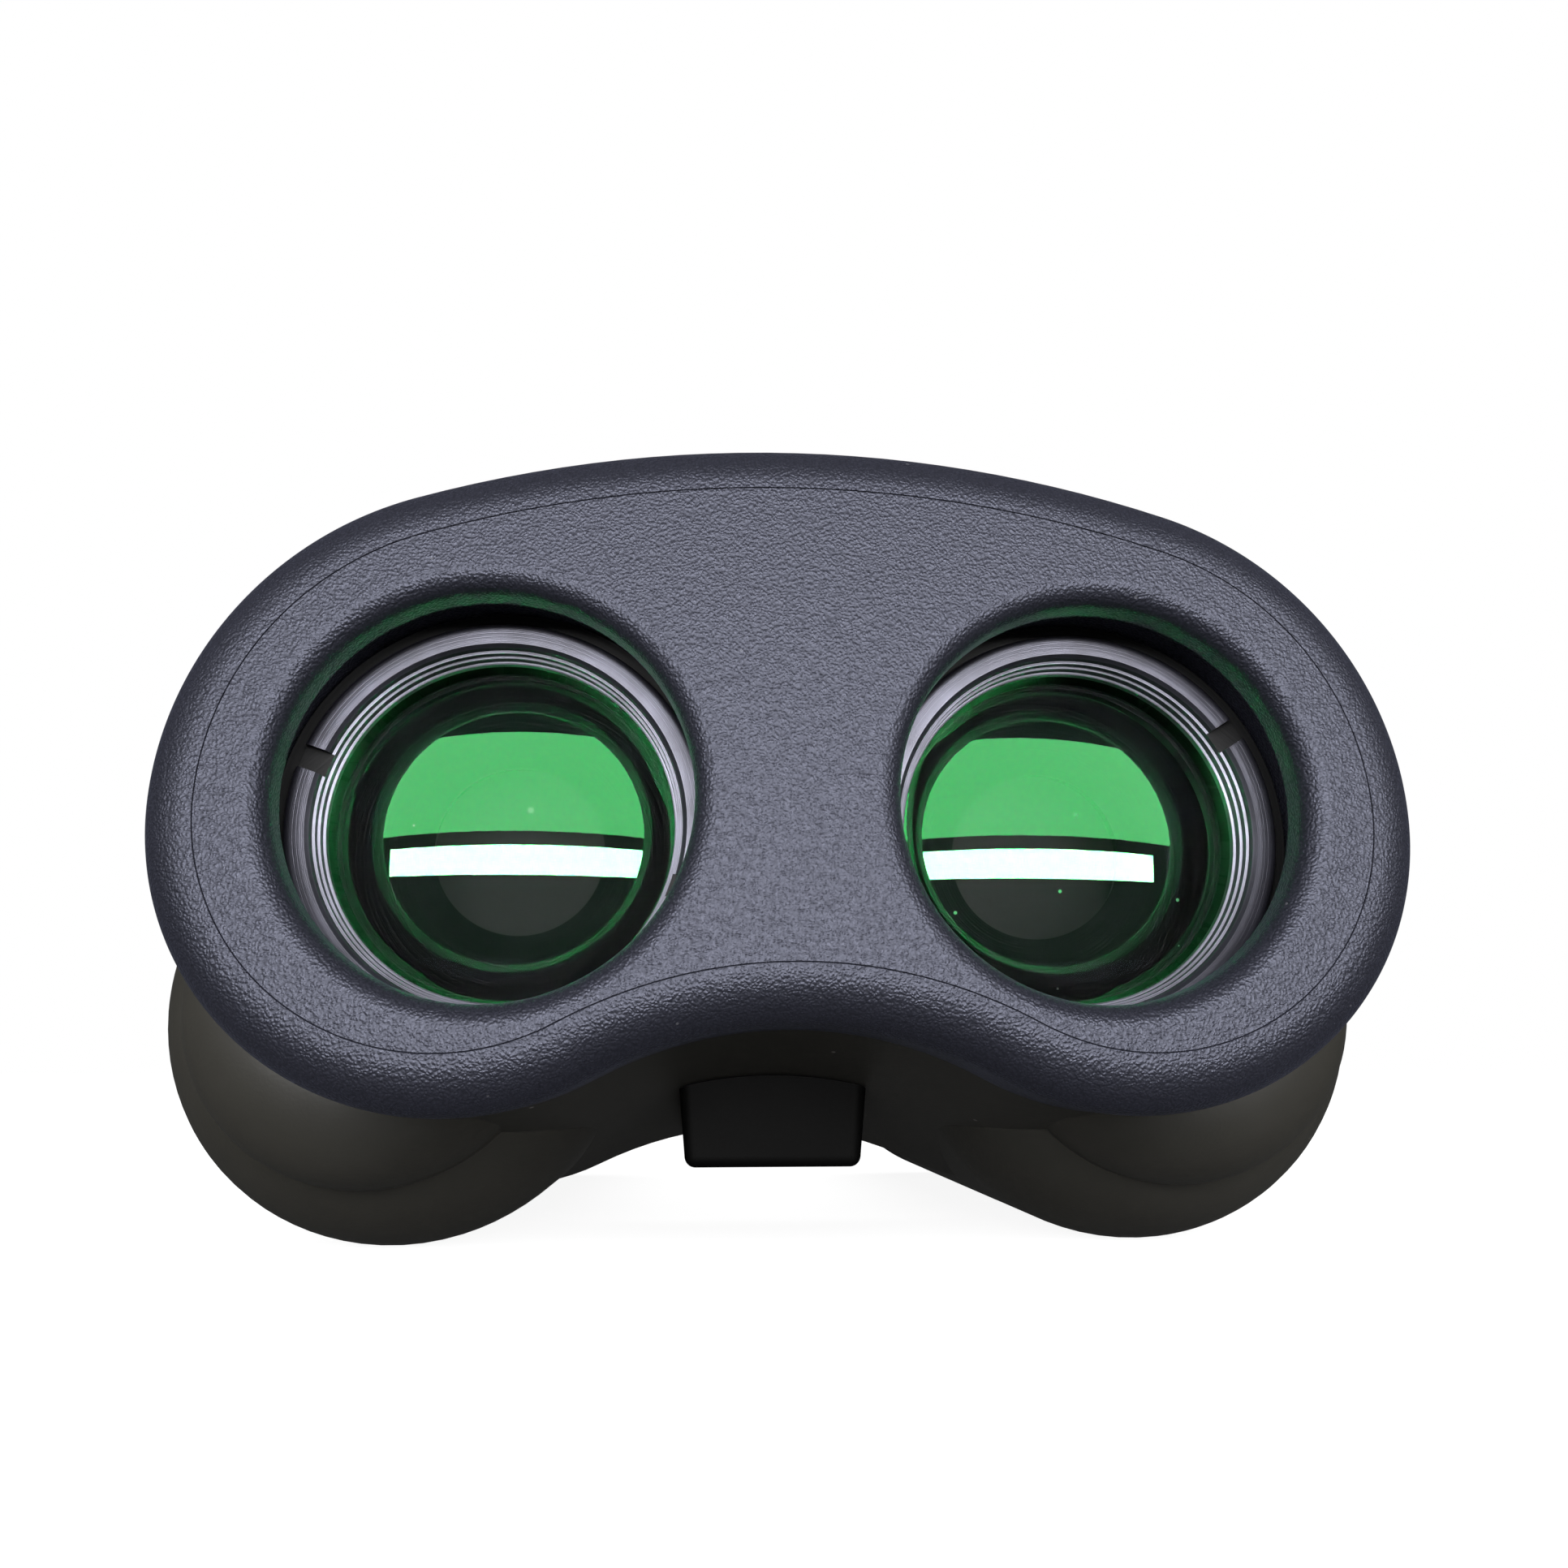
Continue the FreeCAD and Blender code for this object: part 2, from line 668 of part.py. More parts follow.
fillet(block, edges_at(block, is_block_edge), block_rounding)
neck_loft(block, housing_depth, -block_gap, add=False)
drill_down(block, -pad_notch, block_base_drop - pad_notch - 3, block_screw_holes)
drill_down(block, -pad_notch, block_base_drop, [(ZERO, block_middle, cable_hole_radius)])
drill_down(block, -block_base_drop + gland_counterbore, gland_counterbore + 1,
           [(ZERO, block_middle, gland_flange + gap)])
mount_holes = [(across * mount_spacing_x / 2, block_middle + along * mount_spacing_y / 2,
                mount_hole_radius) for across in (-1, 1) for along in (-1, 1)]
drill_down(block, -block_base_drop + mount_hole_depth, mount_hole_depth + 1, mount_holes)
keep(block)

block_screw_head = driving("block_screw_head", 4)
block_screw_length = block_base_drop - floor_pad_drop - 4
keep(group("block_screws", [
    screw(f"block_screw_{name}", ZERO, y, -floor_pad_drop + block_screw_radius * 2,
          block_screw_head, block_screw_radius * 2, block_screw_radius, block_screw_length, DOWN)
    for name, y in (("front", block_screw_front), ("back", block_screw_back))
]))

# ---- cable gland through the block and the housing floor, with its nut inside ----------------------

nut_length = driving("nut_length", 3)
nut_radius = driving("nut_radius", 6.4)
gland_top = -floor_pad_drop + nut_length + 1
gland_length = gland_top + block_base_drop
gland_body = rod("gland_tube", ZERO, block_middle, -block_base_drop, cable_hole_radius - gap,
                 gland_length)
gland_head = rod("gland_head", ZERO, block_middle, -block_base_drop, gland_flange,
                 gland_counterbore)
gland_blank = doc.addObject("Part::Fuse", "gland_blank")
gland_blank.Base = gland_body
gland_blank.Tool = gland_head
keep(minus("cable_gland", gland_blank, [
    rod("gland_hole", ZERO, block_middle, -block_base_drop - 1, gland_bore, gland_length + 2)]))
nut = doc.addObject("Part::Prism", "gland_nut_blank")
nut.Polygon = 6
bind(nut, ".Circumradius", nut_radius)
bind(nut, ".Height", nut_length)
nut.Placement = Placement(Vector(), Rotation(Vector(0, 0, 1), 0))
place(nut, ZERO, block_middle, -floor_pad_drop)
keep(minus("gland_nut", nut, [
    rod("gland_nut_hole", ZERO, block_middle, -floor_pad_drop - 1, cable_hole_radius - gap,
        nut_length + 2)]))

# ---- front plate, which carries the eyepieces and the optical chassis -------------------------------

PILLARS = [(across * x, z) for across in (-1, 1)
           for x, z in ((high_pillar_x, high_pillar_z), (low_pillar_x, -low_pillar_z))]
screw_head_length = driving("screw_head_length", 2)
plate_screw_places = [(x, z) for x, z, radius in BOSSES] + PILLARS
front_plate = new_body("front_plate")
pad_out(front_plate, neck_outline(pad_depth, wall + front_plate_gap), pad_depth,
        front_plate_thickness)
for side, sign in SIDES:
    round_pad(front_plate, sign * half, ZERO, eyepiece_tube + gap, pad_depth,
              front_plate_thickness, add=False)
for x, z in plate_screw_places:
    round_pad(front_plate, x, z, screw_head_radius + gap, pad_depth, screw_head_length + gap,
              add=False)
    round_pad(front_plate, x, z, tapped_radius + gap, pad_depth, front_plate_thickness, add=False)
keep(front_plate)
keep(group("front_plate_screws", [
    screw(f"front_plate_screw_{index}", x, pad_depth + gap, z, screw_head_radius,
          screw_head_length, tapped_radius, tapped_depth, BACKWARDS)
    for index, (x, z) in enumerate(plate_screw_places)
]))

# ---- eyepieces ------------------------------------------------------------------------------------

ring_back = eye_ring_depth + eye_ring_length
lens_back = ring_back + eye_lens_edge
flange_front = eye_ring_depth + eye_ring_head
lip_back = lens_back + seat_lip
tube_back = flange_front + eyepiece_length
spacer_back = lip_back + spacer_length
field_back = spacer_back + field_lens_edge
stop_back = field_back + stop_ring_length


def sag(radius, curve):
    return curve - root(curve * curve - radius * radius)


def lens(label, x, front_edge, edge, radius, front_bore, front_curve, back_bore, back_curve):
    """A lens with domed faces inside two flat lands that its mount presses on."""
    back_edge = front_edge + edge
    return turned(label, x, ZERO, [
        (ZERO, front_edge - sag(front_bore, front_curve), front_curve),
        (front_bore, front_edge),
        (radius, front_edge),
        (radius, back_edge),
        (back_bore, back_edge, back_curve),
        (ZERO, back_edge + sag(back_bore, back_curve)),
    ])


def slot_across(body, angle, width, reach, depth, length):
    """A straight slot across a ring, turned anticlockwise as the viewer sees it."""
    sketch = new_sketch(body, "XZ_Plane", -as_size(depth))
    sketch.AttachmentOffset = Placement(sketch.AttachmentOffset.Base,
                                        Rotation(Vector(0, 0, 1), as_size(angle).number))
    bind(sketch, ".AttachmentOffset.Rotation.Angle", angle)
    draw_outline(sketch, rectangle(-reach, -width / 2, reach, width / 2))
    return extrude(body, sketch, length, add=False)


for side, sign in SIDES:
    x = sign * half
    ring = turned(f"eye_lens_ring_{side}", x, ZERO, [
        (eye_ring_bore, eye_ring_depth),
        (eye_ring_radius - eye_ring_rounding, eye_ring_depth, eye_ring_rounding),
        (eye_ring_radius, eye_ring_depth + eye_ring_rounding),
        (eye_ring_radius, flange_front),
        (eye_lens_radius, flange_front),
        (eye_lens_radius, ring_back),
        (eye_ring_bore, ring_back),
    ])
    slot_across(ring, left_slot_angle if sign < 0 else right_slot_angle, ring_slot,
                eye_ring_radius + 1, eye_ring_depth, ring_slot_depth)
    keep(ring)
    keep(lens(f"eye_lens_{side}", x, ring_back, eye_lens_edge, eye_lens_radius,
              eye_ring_bore, eye_lens_front_curve, seat_bore, eye_lens_back_curve))
    keep(turned(f"eyepiece_barrel_{side}", x, ZERO, [
        (eye_lens_radius + gap, flange_front),
        (eyepiece_flange, flange_front),
        (eyepiece_flange, pad_depth),
        (eyepiece_tube, pad_depth),
        (eyepiece_tube, tube_back),
        (field_bore, tube_back),
        (field_bore, lip_back),
        (seat_bore, lip_back),
        (seat_bore, lens_back),
        (eye_lens_radius + gap, lens_back),
    ]))
    keep(turned(f"lens_spacer_{side}", x, ZERO, rectangle(
        field_bore - gap - spacer_wall, lip_back, field_bore - gap, spacer_back)))
    field_radius = field_bore - gap
    land_radius = field_radius - spacer_wall
    keep(lens(f"field_lens_{side}", x, spacer_back, field_lens_edge, field_radius,
              land_radius, field_lens_front_curve, land_radius, field_lens_back_curve))
    stop = turned(f"field_stop_ring_{side}", x, ZERO, [
        (land_radius, field_back),
        (field_radius, field_back),
        (field_radius, stop_back),
        (stop_radius, stop_back),
        (stop_radius, stop_back - stop_ring_disc),
        (land_radius, stop_back - stop_ring_disc),
    ])
    keep(stop)
    locknut = turned(f"eyepiece_locknut_{side}", x, ZERO, rectangle(
        eyepiece_tube, plate_back, locknut_radius, plate_back + locknut_length))
    for angle in (0, 90):
        slot_across(locknut, angle, locknut_notch, locknut_radius + 1,
                    plate_back + locknut_length - locknut_notch, locknut_notch)
    keep(locknut)

# ---- optical chassis: pillars and the plate that holds the prisms -----------------------------------

pillar_length = prism_plate_depth - plate_back
pillars = []
for index, (x, z) in enumerate(PILLARS):
    pillar = rod(f"pillar_{index}", x, plate_back, z, pillar_radius, pillar_length, BACKWARDS)
    hole = rod(f"pillar_hole_{index}", x, plate_back, z, tapped_radius, pillar_length, BACKWARDS)
    pillars.append(minus(f"pillar_{index}_bored", pillar, [hole]))
keep(group("chassis_pillars", pillars))

plate_top = driving("plate_top", 32.6)
plate_top_half = driving("plate_top_half", 20)
plate_low = driving("plate_low", 18)
plate_margin = driving("plate_margin", 1)
strap_screw_radius = driving("strap_screw_radius", 0.8)
prism_plate_back = prism_plate_depth + prism_plate_thickness
near_prism_z = -prism_shift / 2
near_prism_end = prism_shift + strap_foot + plate_margin / 2
far_prism_x = half + prism_shift / 2
plate_side = far_prism_x + prism_shift + strap_foot
wing_low = near_prism_z - near_prism_end
wing_high = near_prism_z + near_prism_end
wing_in = objective_x - prism_width / 2 - plate_margin
wing_out = objective_x + prism_width / 2 + plate_margin
strap_half = strap_width / 2 + plate_margin
plate_half = [
    (half - prism_shift / 2 - strap_foot - plate_margin, -strap_half * 3 / 2),
    (wing_in, -strap_half * 3 / 2),
    (wing_in, wing_low),
    (wing_out, wing_low),
    (plate_side, -strap_half),
    (plate_side, strap_half),
    (objective_x + strap_half, wing_high),
    (plate_top_half + boss_radius * 2, wing_high),
    (plate_top_half, plate_top),
]
prism_plate = new_body("prism_plate")
pad_out(prism_plate, [(-low_pillar_x - boss_radius * 4 / 3, -plate_low),
                      (low_pillar_x + boss_radius * 4 / 3, -plate_low)]
        + plate_half + [(-x, z) for x, z in reversed(plate_half)],
        prism_plate_depth, prism_plate_thickness)
foot_middle = prism_shift + strap_foot / 2
NEAR_FEET = [(sign * objective_x, near_prism_z + end * foot_middle)
             for side, sign in SIDES for end in (-1, 1)]
FAR_FEET = [(sign * far_prism_x + end * foot_middle, ZERO)
            for side, sign in SIDES for end in (-1, 1)]
solenoid_screw_x = driving("solenoid_screw_x", 7)
plate_holes = [(x, z, tapped_radius + gap) for x, z in PILLARS]
plate_holes += [(x, z, strap_screw_radius) for x, z in NEAR_FEET + FAR_FEET]
plate_holes += [(sign * solenoid_screw_x, ZERO, strap_screw_radius) for side, sign in SIDES]
for side, sign in SIDES:
    plate_holes += [(sign * objective_x, -prism_shift, stop_radius),
                    (sign * objective_x, ZERO, stop_radius),
                    (sign * half, ZERO, stop_radius)]
for x, z, radius in plate_holes:
    round_pad(prism_plate, x, z, radius, prism_plate_depth, prism_plate_thickness, add=False)
keep(prism_plate)
keep(group("prism_plate_screws", [
    screw(f"prism_plate_screw_{index}", x, prism_plate_back + screw_head_length, z,
          screw_head_radius, screw_head_length, tapped_radius, tapped_depth, FORWARDS)
    for index, (x, z) in enumerate(PILLARS)
]))

# ---- prisms and the sprung straps that hold them ----------------------------------------------------

ridge = prism_shift - prism_flat
slant = strap_thickness * (math.sqrt(2) - 1)          # extra reach of a strap's outer corners
PRISM = [(-prism_shift, ZERO), (prism_shift, ZERO), (prism_flat, ridge), (-prism_flat, ridge)]
STRAP = [
    (-prism_shift - strap_foot, ZERO),
    (-prism_shift, ZERO),
    (-prism_flat, ridge),
    (prism_flat, ridge),
    (prism_shift, ZERO),
    (prism_shift + strap_foot, ZERO),
    (prism_shift + strap_foot, strap_thickness),
    (prism_shift + slant, strap_thickness),
    (prism_flat + slant, ridge + strap_thickness),
    (-prism_flat - slant, ridge + strap_thickness),
    (-prism_shift - slant, strap_thickness),
    (-prism_shift - strap_foot, strap_thickness),
]


def folded(label, x, y, z, corners, width, upright):
    """A constant section on the prism plate. Corners are (along the long face, off the plate).
    An upright one stands in front of the plate, the other lies behind it."""
    body = new_body(label, x, y, z)
    if upright:
        sketch = new_sketch(body, "YZ_Plane", -width / 2)
        draw_outline(sketch, [(-height, along) for along, height in corners])
    else:
        sketch = new_sketch(body, "XY_Plane", -width / 2)
        draw_outline(sketch, corners)
    feature = body.newObject("PartDesign::Pad", label + "_length")
    feature.Profile = (sketch, [""])
    bind(feature, ".Length", width)
    return body


strap_screw_head = driving("strap_screw_head", 1.5)
strap_screw_head_length = driving("strap_screw_head_length", 1)
for side, sign in SIDES:
    x_near = sign * objective_x
    x_far = sign * far_prism_x
    keep(folded(f"near_prism_{side}", x_near, prism_plate_depth, near_prism_z, PRISM,
                prism_width, True))
    keep(folded(f"far_prism_{side}", x_far, prism_plate_back, ZERO, PRISM, prism_width, False))
    near_blank = folded(f"near_strap_blank_{side}", x_near, prism_plate_depth, near_prism_z, STRAP,
                        strap_width, True)
    far_blank = folded(f"far_strap_blank_{side}", x_far, prism_plate_back, ZERO, STRAP,
                       strap_width, False)
    for name, blank, feet, depth in (
            ("near", near_blank, [foot for foot in NEAR_FEET if foot[0].number * sign > 0],
             prism_plate_depth - strap_thickness - 1),
            ("far", far_blank, [foot for foot in FAR_FEET if foot[0].number * sign > 0],
             prism_plate_back - 1)):
        holes = [rod(f"{name}_strap_hole_{side}_{index}", x, depth, z, strap_screw_radius,
                     strap_thickness + 2, BACKWARDS) for index, (x, z) in enumerate(feet)]
        keep(minus(f"{name}_prism_strap_{side}", blank, holes))
strap_screw_reach = strap_thickness + prism_plate_thickness - 0.5
strap_screws = [
    screw(f"near_strap_screw_{index}", x, prism_plate_depth - strap_thickness
          - strap_screw_head_length, z, strap_screw_head, strap_screw_head_length,
          strap_screw_radius, strap_screw_reach, BACKWARDS)
    for index, (x, z) in enumerate(NEAR_FEET)
]
strap_screws += [
    screw(f"far_strap_screw_{index}", x, prism_plate_back + strap_thickness
          + strap_screw_head_length, z, strap_screw_head, strap_screw_head_length,
          strap_screw_radius, strap_screw_reach, FORWARDS)
    for index, (x, z) in enumerate(FAR_FEET)
]
keep(group("strap_screws", strap_screws))

# ---- coin shutter: a rotary solenoid on the prism plate swings one two-ended blade ------------------

solenoid_front = prism_plate_depth - solenoid_length
solenoid_floor = prism_plate_depth - solenoid_wall
cap_back = solenoid_front + solenoid_cap
inside = solenoid_radius - solenoid_wall
bearing = shaft_radius + shaft_gap
solenoid_case = turned("solenoid_case", ZERO, ZERO, [
    (bearing, solenoid_floor),
    (inside, solenoid_floor),
    (inside, solenoid_front),
    (solenoid_radius, solenoid_front),
    (solenoid_radius, prism_plate_depth),
    (bearing, prism_plate_depth),
])
for side, sign in SIDES:
    round_pad(solenoid_case, sign * solenoid_screw_x, ZERO, strap_screw_radius, solenoid_floor,
              solenoid_wall, add=False)
keep(solenoid_case)
keep(turned("solenoid_cap", ZERO, ZERO, rectangle(bearing, solenoid_front, inside, cap_back)))
coil_radius = rotor_radius + coil_gap
screw_room = driving("screw_room", 1.5)
keep(turned("solenoid_coil", ZERO, ZERO, rectangle(coil_radius, cap_back, inside,
                                                   solenoid_floor - screw_room)))
keep(group("solenoid_screws", [
    screw(f"solenoid_screw_{side}", sign * solenoid_screw_x, prism_plate_back
          + strap_screw_head_length, ZERO, strap_screw_head, strap_screw_head_length,
          strap_screw_radius, prism_plate_thickness + solenoid_wall, FORWARDS)
    for side, sign in SIDES
]))
rotor_front = cap_back + 1
rotor_back = rotor_front + rotor_length
keep(turned("shutter_rotor", ZERO, ZERO, [
    (ZERO, shaft_front),
    (shaft_radius, shaft_front),
    (shaft_radius, rotor_front),
    (rotor_radius, rotor_front),
    (rotor_radius, rotor_back),
    (shaft_radius, rotor_back),
    (shaft_radius, prism_plate_depth - 0.3),
    (ZERO, prism_plate_depth - 0.3),
]))
blade_screw_x = driving("blade_screw_x", 2.75)
blade_screw_radius = driving("blade_screw_radius", 0.6)
hub_front = blade_depth + blade_thickness
hub = turned("shutter_hub", ZERO, ZERO, rectangle(shaft_radius, hub_front, hub_radius,
                                                  hub_front + hub_length))
blade = new_body("shutter_blade")
pad_out(blade, rectangle(-half, -blade_arm / 2, half, blade_arm / 2), blade_depth,
        blade_thickness)
for side, sign in SIDES:
    round_pad(blade, sign * half, ZERO, blade_radius, blade_depth, blade_thickness)
round_pad(blade, ZERO, ZERO, shaft_radius, blade_depth, blade_thickness, add=False)
for side, sign in SIDES:
    x = sign * blade_screw_x
    round_pad(hub, x, ZERO, blade_screw_radius, hub_front, hub_length, add=False)
    round_pad(blade, x, ZERO, blade_screw_radius, blade_depth, blade_thickness, add=False)
keep(hub)
keep(blade)
blade_screw_head = driving("blade_screw_head", 1.1)
blade_screw_head_length = driving("blade_screw_head_length", 0.7)
keep(group("shutter_screws", [
    screw(f"shutter_screw_{side}", sign * blade_screw_x, blade_depth - blade_screw_head_length,
          ZERO, blade_screw_head, blade_screw_head_length, blade_screw_radius, hub_length,
          BACKWARDS)
    for side, sign in SIDES
]))

# ---- objective barrels, lenses, seals and hoods ------------------------------------------------------

spigot_front = housing_depth - end_wall + 0.3
spigot_radius = socket_radius - gap / 2
hood_back = overall_length - hood_length
barrel_end = overall_length - barrel_recess
seat_depth = overall_length - objective_seat
lens_bore = objective_radius + gap / 2
cement_depth = seat_depth + flint_edge
crown_depth = cement_depth + crown_edge
seal_radius = lens_bore - seal_thickness
seal_depth = crown_depth + seal_thickness + seal_gap + sag(objective_radius, crown_curve) - sag(
    seal_radius, crown_curve)
ring_depth = seal_depth + seal_thickness
barrel_bore = barrel_radius - barrel_wall
hood_seat = barrel_radius - hood_wall
for side, sign in SIDES:
    x = sign * objective_x
    z = -prism_shift
    keep(turned(f"objective_barrel_{side}", x, z, [
        (spigot_radius - spigot_wall, spigot_front),
        (spigot_radius, spigot_front),
        (spigot_radius, housing_depth),
        (barrel_radius, housing_depth),
        (barrel_radius, hood_back),
        (hood_seat, hood_back),
        (hood_seat, barrel_end),
        (lens_bore, barrel_end),
        (lens_bore, seat_depth),
        (objective_aperture, seat_depth),
        (objective_aperture, seat_depth - seat_thickness),
        (barrel_bore - barrel_wall / 2, seat_depth - seat_thickness * 2),
        (barrel_bore - barrel_wall / 2, housing_depth + end_wall),
        (spigot_radius - spigot_wall, housing_depth + seat_thickness),
    ]))
    keep(turned(f"flint_lens_{side}", x, z, [
        (ZERO, seat_depth),
        (objective_radius, seat_depth),
        (objective_radius, cement_depth, -cement_curve),
        (ZERO, cement_depth - sag(objective_radius, cement_curve)),
    ]))
    keep(turned(f"crown_lens_{side}", x, z, [
        (ZERO, cement_depth - sag(objective_radius, cement_curve), cement_curve),
        (objective_radius, cement_depth),
        (objective_radius, crown_depth, crown_curve),
        (ZERO, crown_depth + sag(objective_radius, crown_curve)),
    ]))
    seal = doc.addObject("Part::Torus", f"objective_seal_{side}")
    bind(seal, ".Radius1", seal_radius)
    bind(seal, ".Radius2", seal_thickness)
    seal.Placement = Placement(Vector(), BACKWARDS)
    place(seal, as_size(x), seal_depth, z)
    keep(seal)
    objective_ring = turned(f"objective_ring_{side}", x, z, rectangle(
        objective_aperture, ring_depth, lens_bore, ring_depth + objective_ring_length))
    slot_across(objective_ring, 90, ring_slot, lens_bore + 1,
                ring_depth + objective_ring_length - ring_slot_depth, ring_slot_depth)
    keep(objective_ring)
    keep(turned(f"objective_hood_{side}", x, z, [
        (hood_seat, hood_back),
        (barrel_radius, hood_back),
        (barrel_radius, overall_length - hood_wall / 2, hood_wall / 2),
        (barrel_radius - hood_wall / 2, overall_length),
        (hood_seat, overall_length, hood_wall / 2),
        (hood_seat - hood_wall / 2, overall_length - hood_wall / 2),
        (hood_seat - hood_wall / 2, barrel_end),
        (hood_seat, barrel_end),
    ]))

# ---- rebuild, check and write --------------------------------------------------------------------------

doc.recompute()
for item in doc.Objects:
    if "Invalid" in item.State or "Error" in item.State:
        raise RuntimeError(f"{item.Label} did not rebuild: {item.State}")
for piece in pieces:
    if piece.Shape.isNull() or not piece.Shape.isValid():
        raise RuntimeError(f"{piece.Label} has no valid shape")
os.makedirs("parts", exist_ok=True)
for piece in pieces:
    piece.Shape.exportStep(f"parts/{piece.Label}.step")
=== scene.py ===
"""Looks of the optical head of a coin operated viewer, in metres, in the frame of its CAD model.

+X is to the user's right, +Y is the way they look and +Z is up. The head stands on its barrels.
"""
import math

import bmesh
import bpy
from mathutils import Matrix, Vector


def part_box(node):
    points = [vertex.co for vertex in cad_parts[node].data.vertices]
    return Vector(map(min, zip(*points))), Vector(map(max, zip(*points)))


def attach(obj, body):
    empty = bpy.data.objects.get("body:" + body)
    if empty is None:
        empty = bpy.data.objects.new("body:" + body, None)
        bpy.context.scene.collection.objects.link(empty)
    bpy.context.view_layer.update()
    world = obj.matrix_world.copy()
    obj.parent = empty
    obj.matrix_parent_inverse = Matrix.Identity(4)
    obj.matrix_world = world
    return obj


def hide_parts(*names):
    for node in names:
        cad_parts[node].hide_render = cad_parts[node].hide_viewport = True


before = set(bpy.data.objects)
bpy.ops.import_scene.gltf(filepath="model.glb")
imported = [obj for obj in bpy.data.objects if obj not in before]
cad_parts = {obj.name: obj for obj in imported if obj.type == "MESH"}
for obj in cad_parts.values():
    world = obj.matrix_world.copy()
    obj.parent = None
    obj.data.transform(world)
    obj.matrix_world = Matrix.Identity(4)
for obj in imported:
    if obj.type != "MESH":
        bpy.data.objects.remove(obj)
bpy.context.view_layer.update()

# ---- Camera ----------------------------------------------------------------------------------------
# A wide lens close to the face pad, a little above the table. It looks slightly up and to the
# right.

camera_data = bpy.data.cameras.new("camera")
camera_data.lens = 29.81
camera_data.sensor_width = 36.0
camera_data.clip_start = 0.005
camera = bpy.data.objects.new("camera", camera_data)
camera.matrix_world = (Matrix.Translation((-0.01065, -0.22307, 0.02365))
                       @ Matrix.Rotation(math.radians(-3.851), 4, "Z")
                       @ Matrix.Rotation(math.radians(90 + 12.374), 4, "X")
                       @ Matrix.Rotation(math.radians(-0.106), 4, "Z"))
bpy.context.scene.collection.objects.link(camera)
bpy.context.scene.camera = camera

# ---- Table and studio light ------------------------------------------------------------------------
# A wide matt pale table under a pale sky, both brighter to the camera than the light they give. A
# broad soft box and a low strip lamp stand behind the user, and neither is seen through glass. The
# strip gives reflections alone, and the table and the soft top light show in none.


def flat_look(name, color, roughness):
    """A new material with one Principled shader. Gives the material, its node tree and the shader."""
    material = bpy.data.materials.new(name)
    material.use_nodes = True
    tree = material.node_tree
    shader = tree.nodes["Principled BSDF"]
    shader.inputs["Base Color"].default_value = (*color, 1)
    shader.inputs["Roughness"].default_value = roughness
    return material, tree, shader


def add_node(tree, kind, **settings):
    """A node of one kind in a tree: a setting with a socket's name sets that input."""
    node = tree.nodes.new(kind)
    for key, value in settings.items():
        if hasattr(node, key):
            setattr(node, key, value)
        else:
            node.inputs[key.replace("_", " ")].default_value = value
    return node


def maths(tree, operation, first, second):
    """A maths node on sockets or numbers. Gives its result socket."""
    node = tree.nodes.new("ShaderNodeMath")
    node.operation = operation
    for socket, value in zip(node.inputs, (first, second)):
        if isinstance(value, (int, float)):
            socket.default_value = value
        else:
            tree.links.new(value, socket)
    return node.outputs["Value"]


bpy.ops.object.select_all(action="DESELECT")
table_radius = 9
bpy.ops.mesh.primitive_circle_add(
    vertices=96, radius=table_radius, fill_type="NGON", location=(0, 0, 0))
table = bpy.context.active_object
table.name = "table"
table.visible_glossy = False
table_look, tree, shader = flat_look("table_matt_white", (0.3, 0.3, 0.3), 0.9)
mottle = add_node(tree, "ShaderNodeTexNoise", Scale=40.0, Detail=3.0)
paper = add_node(tree, "ShaderNodeMix", data_type="RGBA")
paper.inputs["A"].default_value = (0.31, 0.31, 0.31, 1)
paper.inputs["B"].default_value = (0.29, 0.29, 0.295, 1)
tree.links.new(mottle.outputs["Fac"], paper.inputs["Factor"])
tree.links.new(paper.outputs["Result"], shader.inputs["Base Color"])
shader.inputs["Emission Color"].default_value = (1, 1, 1, 1)
looked_at = add_node(tree, "ShaderNodeLightPath")
table_glow = maths(tree, "MULTIPLY", looked_at.outputs["Is Camera Ray"], 0.9)
tree.links.new(table_glow, shader.inputs["Emission Strength"])
table.data.materials.append(table_look)


def area_lamp(name, place, target, width, height, watts, seen_diffuse=True):
    """A rectangular lamp aimed at a target, not seen through glass. It can leave matt faces unlit."""
    data = bpy.data.lights.new(name, "AREA")
    data.shape = "RECTANGLE"
    data.size = width
    data.size_y = height
    data.energy = watts
    lamp = bpy.data.objects.new(name, data)
    direction = Vector(target) - Vector(place)
    lamp.matrix_world = (Matrix.Translation(place)
                         @ direction.to_track_quat("-Z", "Y").to_matrix().to_4x4())
    lamp.visible_diffuse = seen_diffuse
    lamp.visible_transmission = False
    bpy.context.scene.collection.objects.link(lamp)


area_lamp("soft_box", (0, -1.3, 0.53), (0, 0, 0.05), 5.2, 0.56, 70)
area_lamp("strip_lamp", (0.02, -1.3, 0.105), (0, 0, 0.06), 1.75, 0.15, 80, seen_diffuse=False)
ceiling_data = bpy.data.lights.new("ceiling", "SUN")
ceiling_data.energy = 1.5
ceiling_data.angle = 1.4
ceiling = bpy.data.objects.new("ceiling", ceiling_data)
ceiling.visible_glossy = False
bpy.context.scene.collection.objects.link(ceiling)
sky = bpy.data.worlds.new("pale_room")
sky.use_nodes = True
backdrop = sky.node_tree.nodes["Background"]
backdrop.inputs["Color"].default_value = (1, 1, 1, 1)
seen = sky.node_tree.nodes.new("ShaderNodeLightPath")
glow = sky.node_tree.nodes.new("ShaderNodeMapRange")
glow.inputs["To Min"].default_value = 0.05
glow.inputs["To Max"].default_value = 1.0
sky.node_tree.links.new(seen.outputs["Is Camera Ray"], glow.inputs["Value"])
sky.node_tree.links.new(glow.outputs["Result"], backdrop.inputs["Strength"])
bpy.context.scene.world = sky
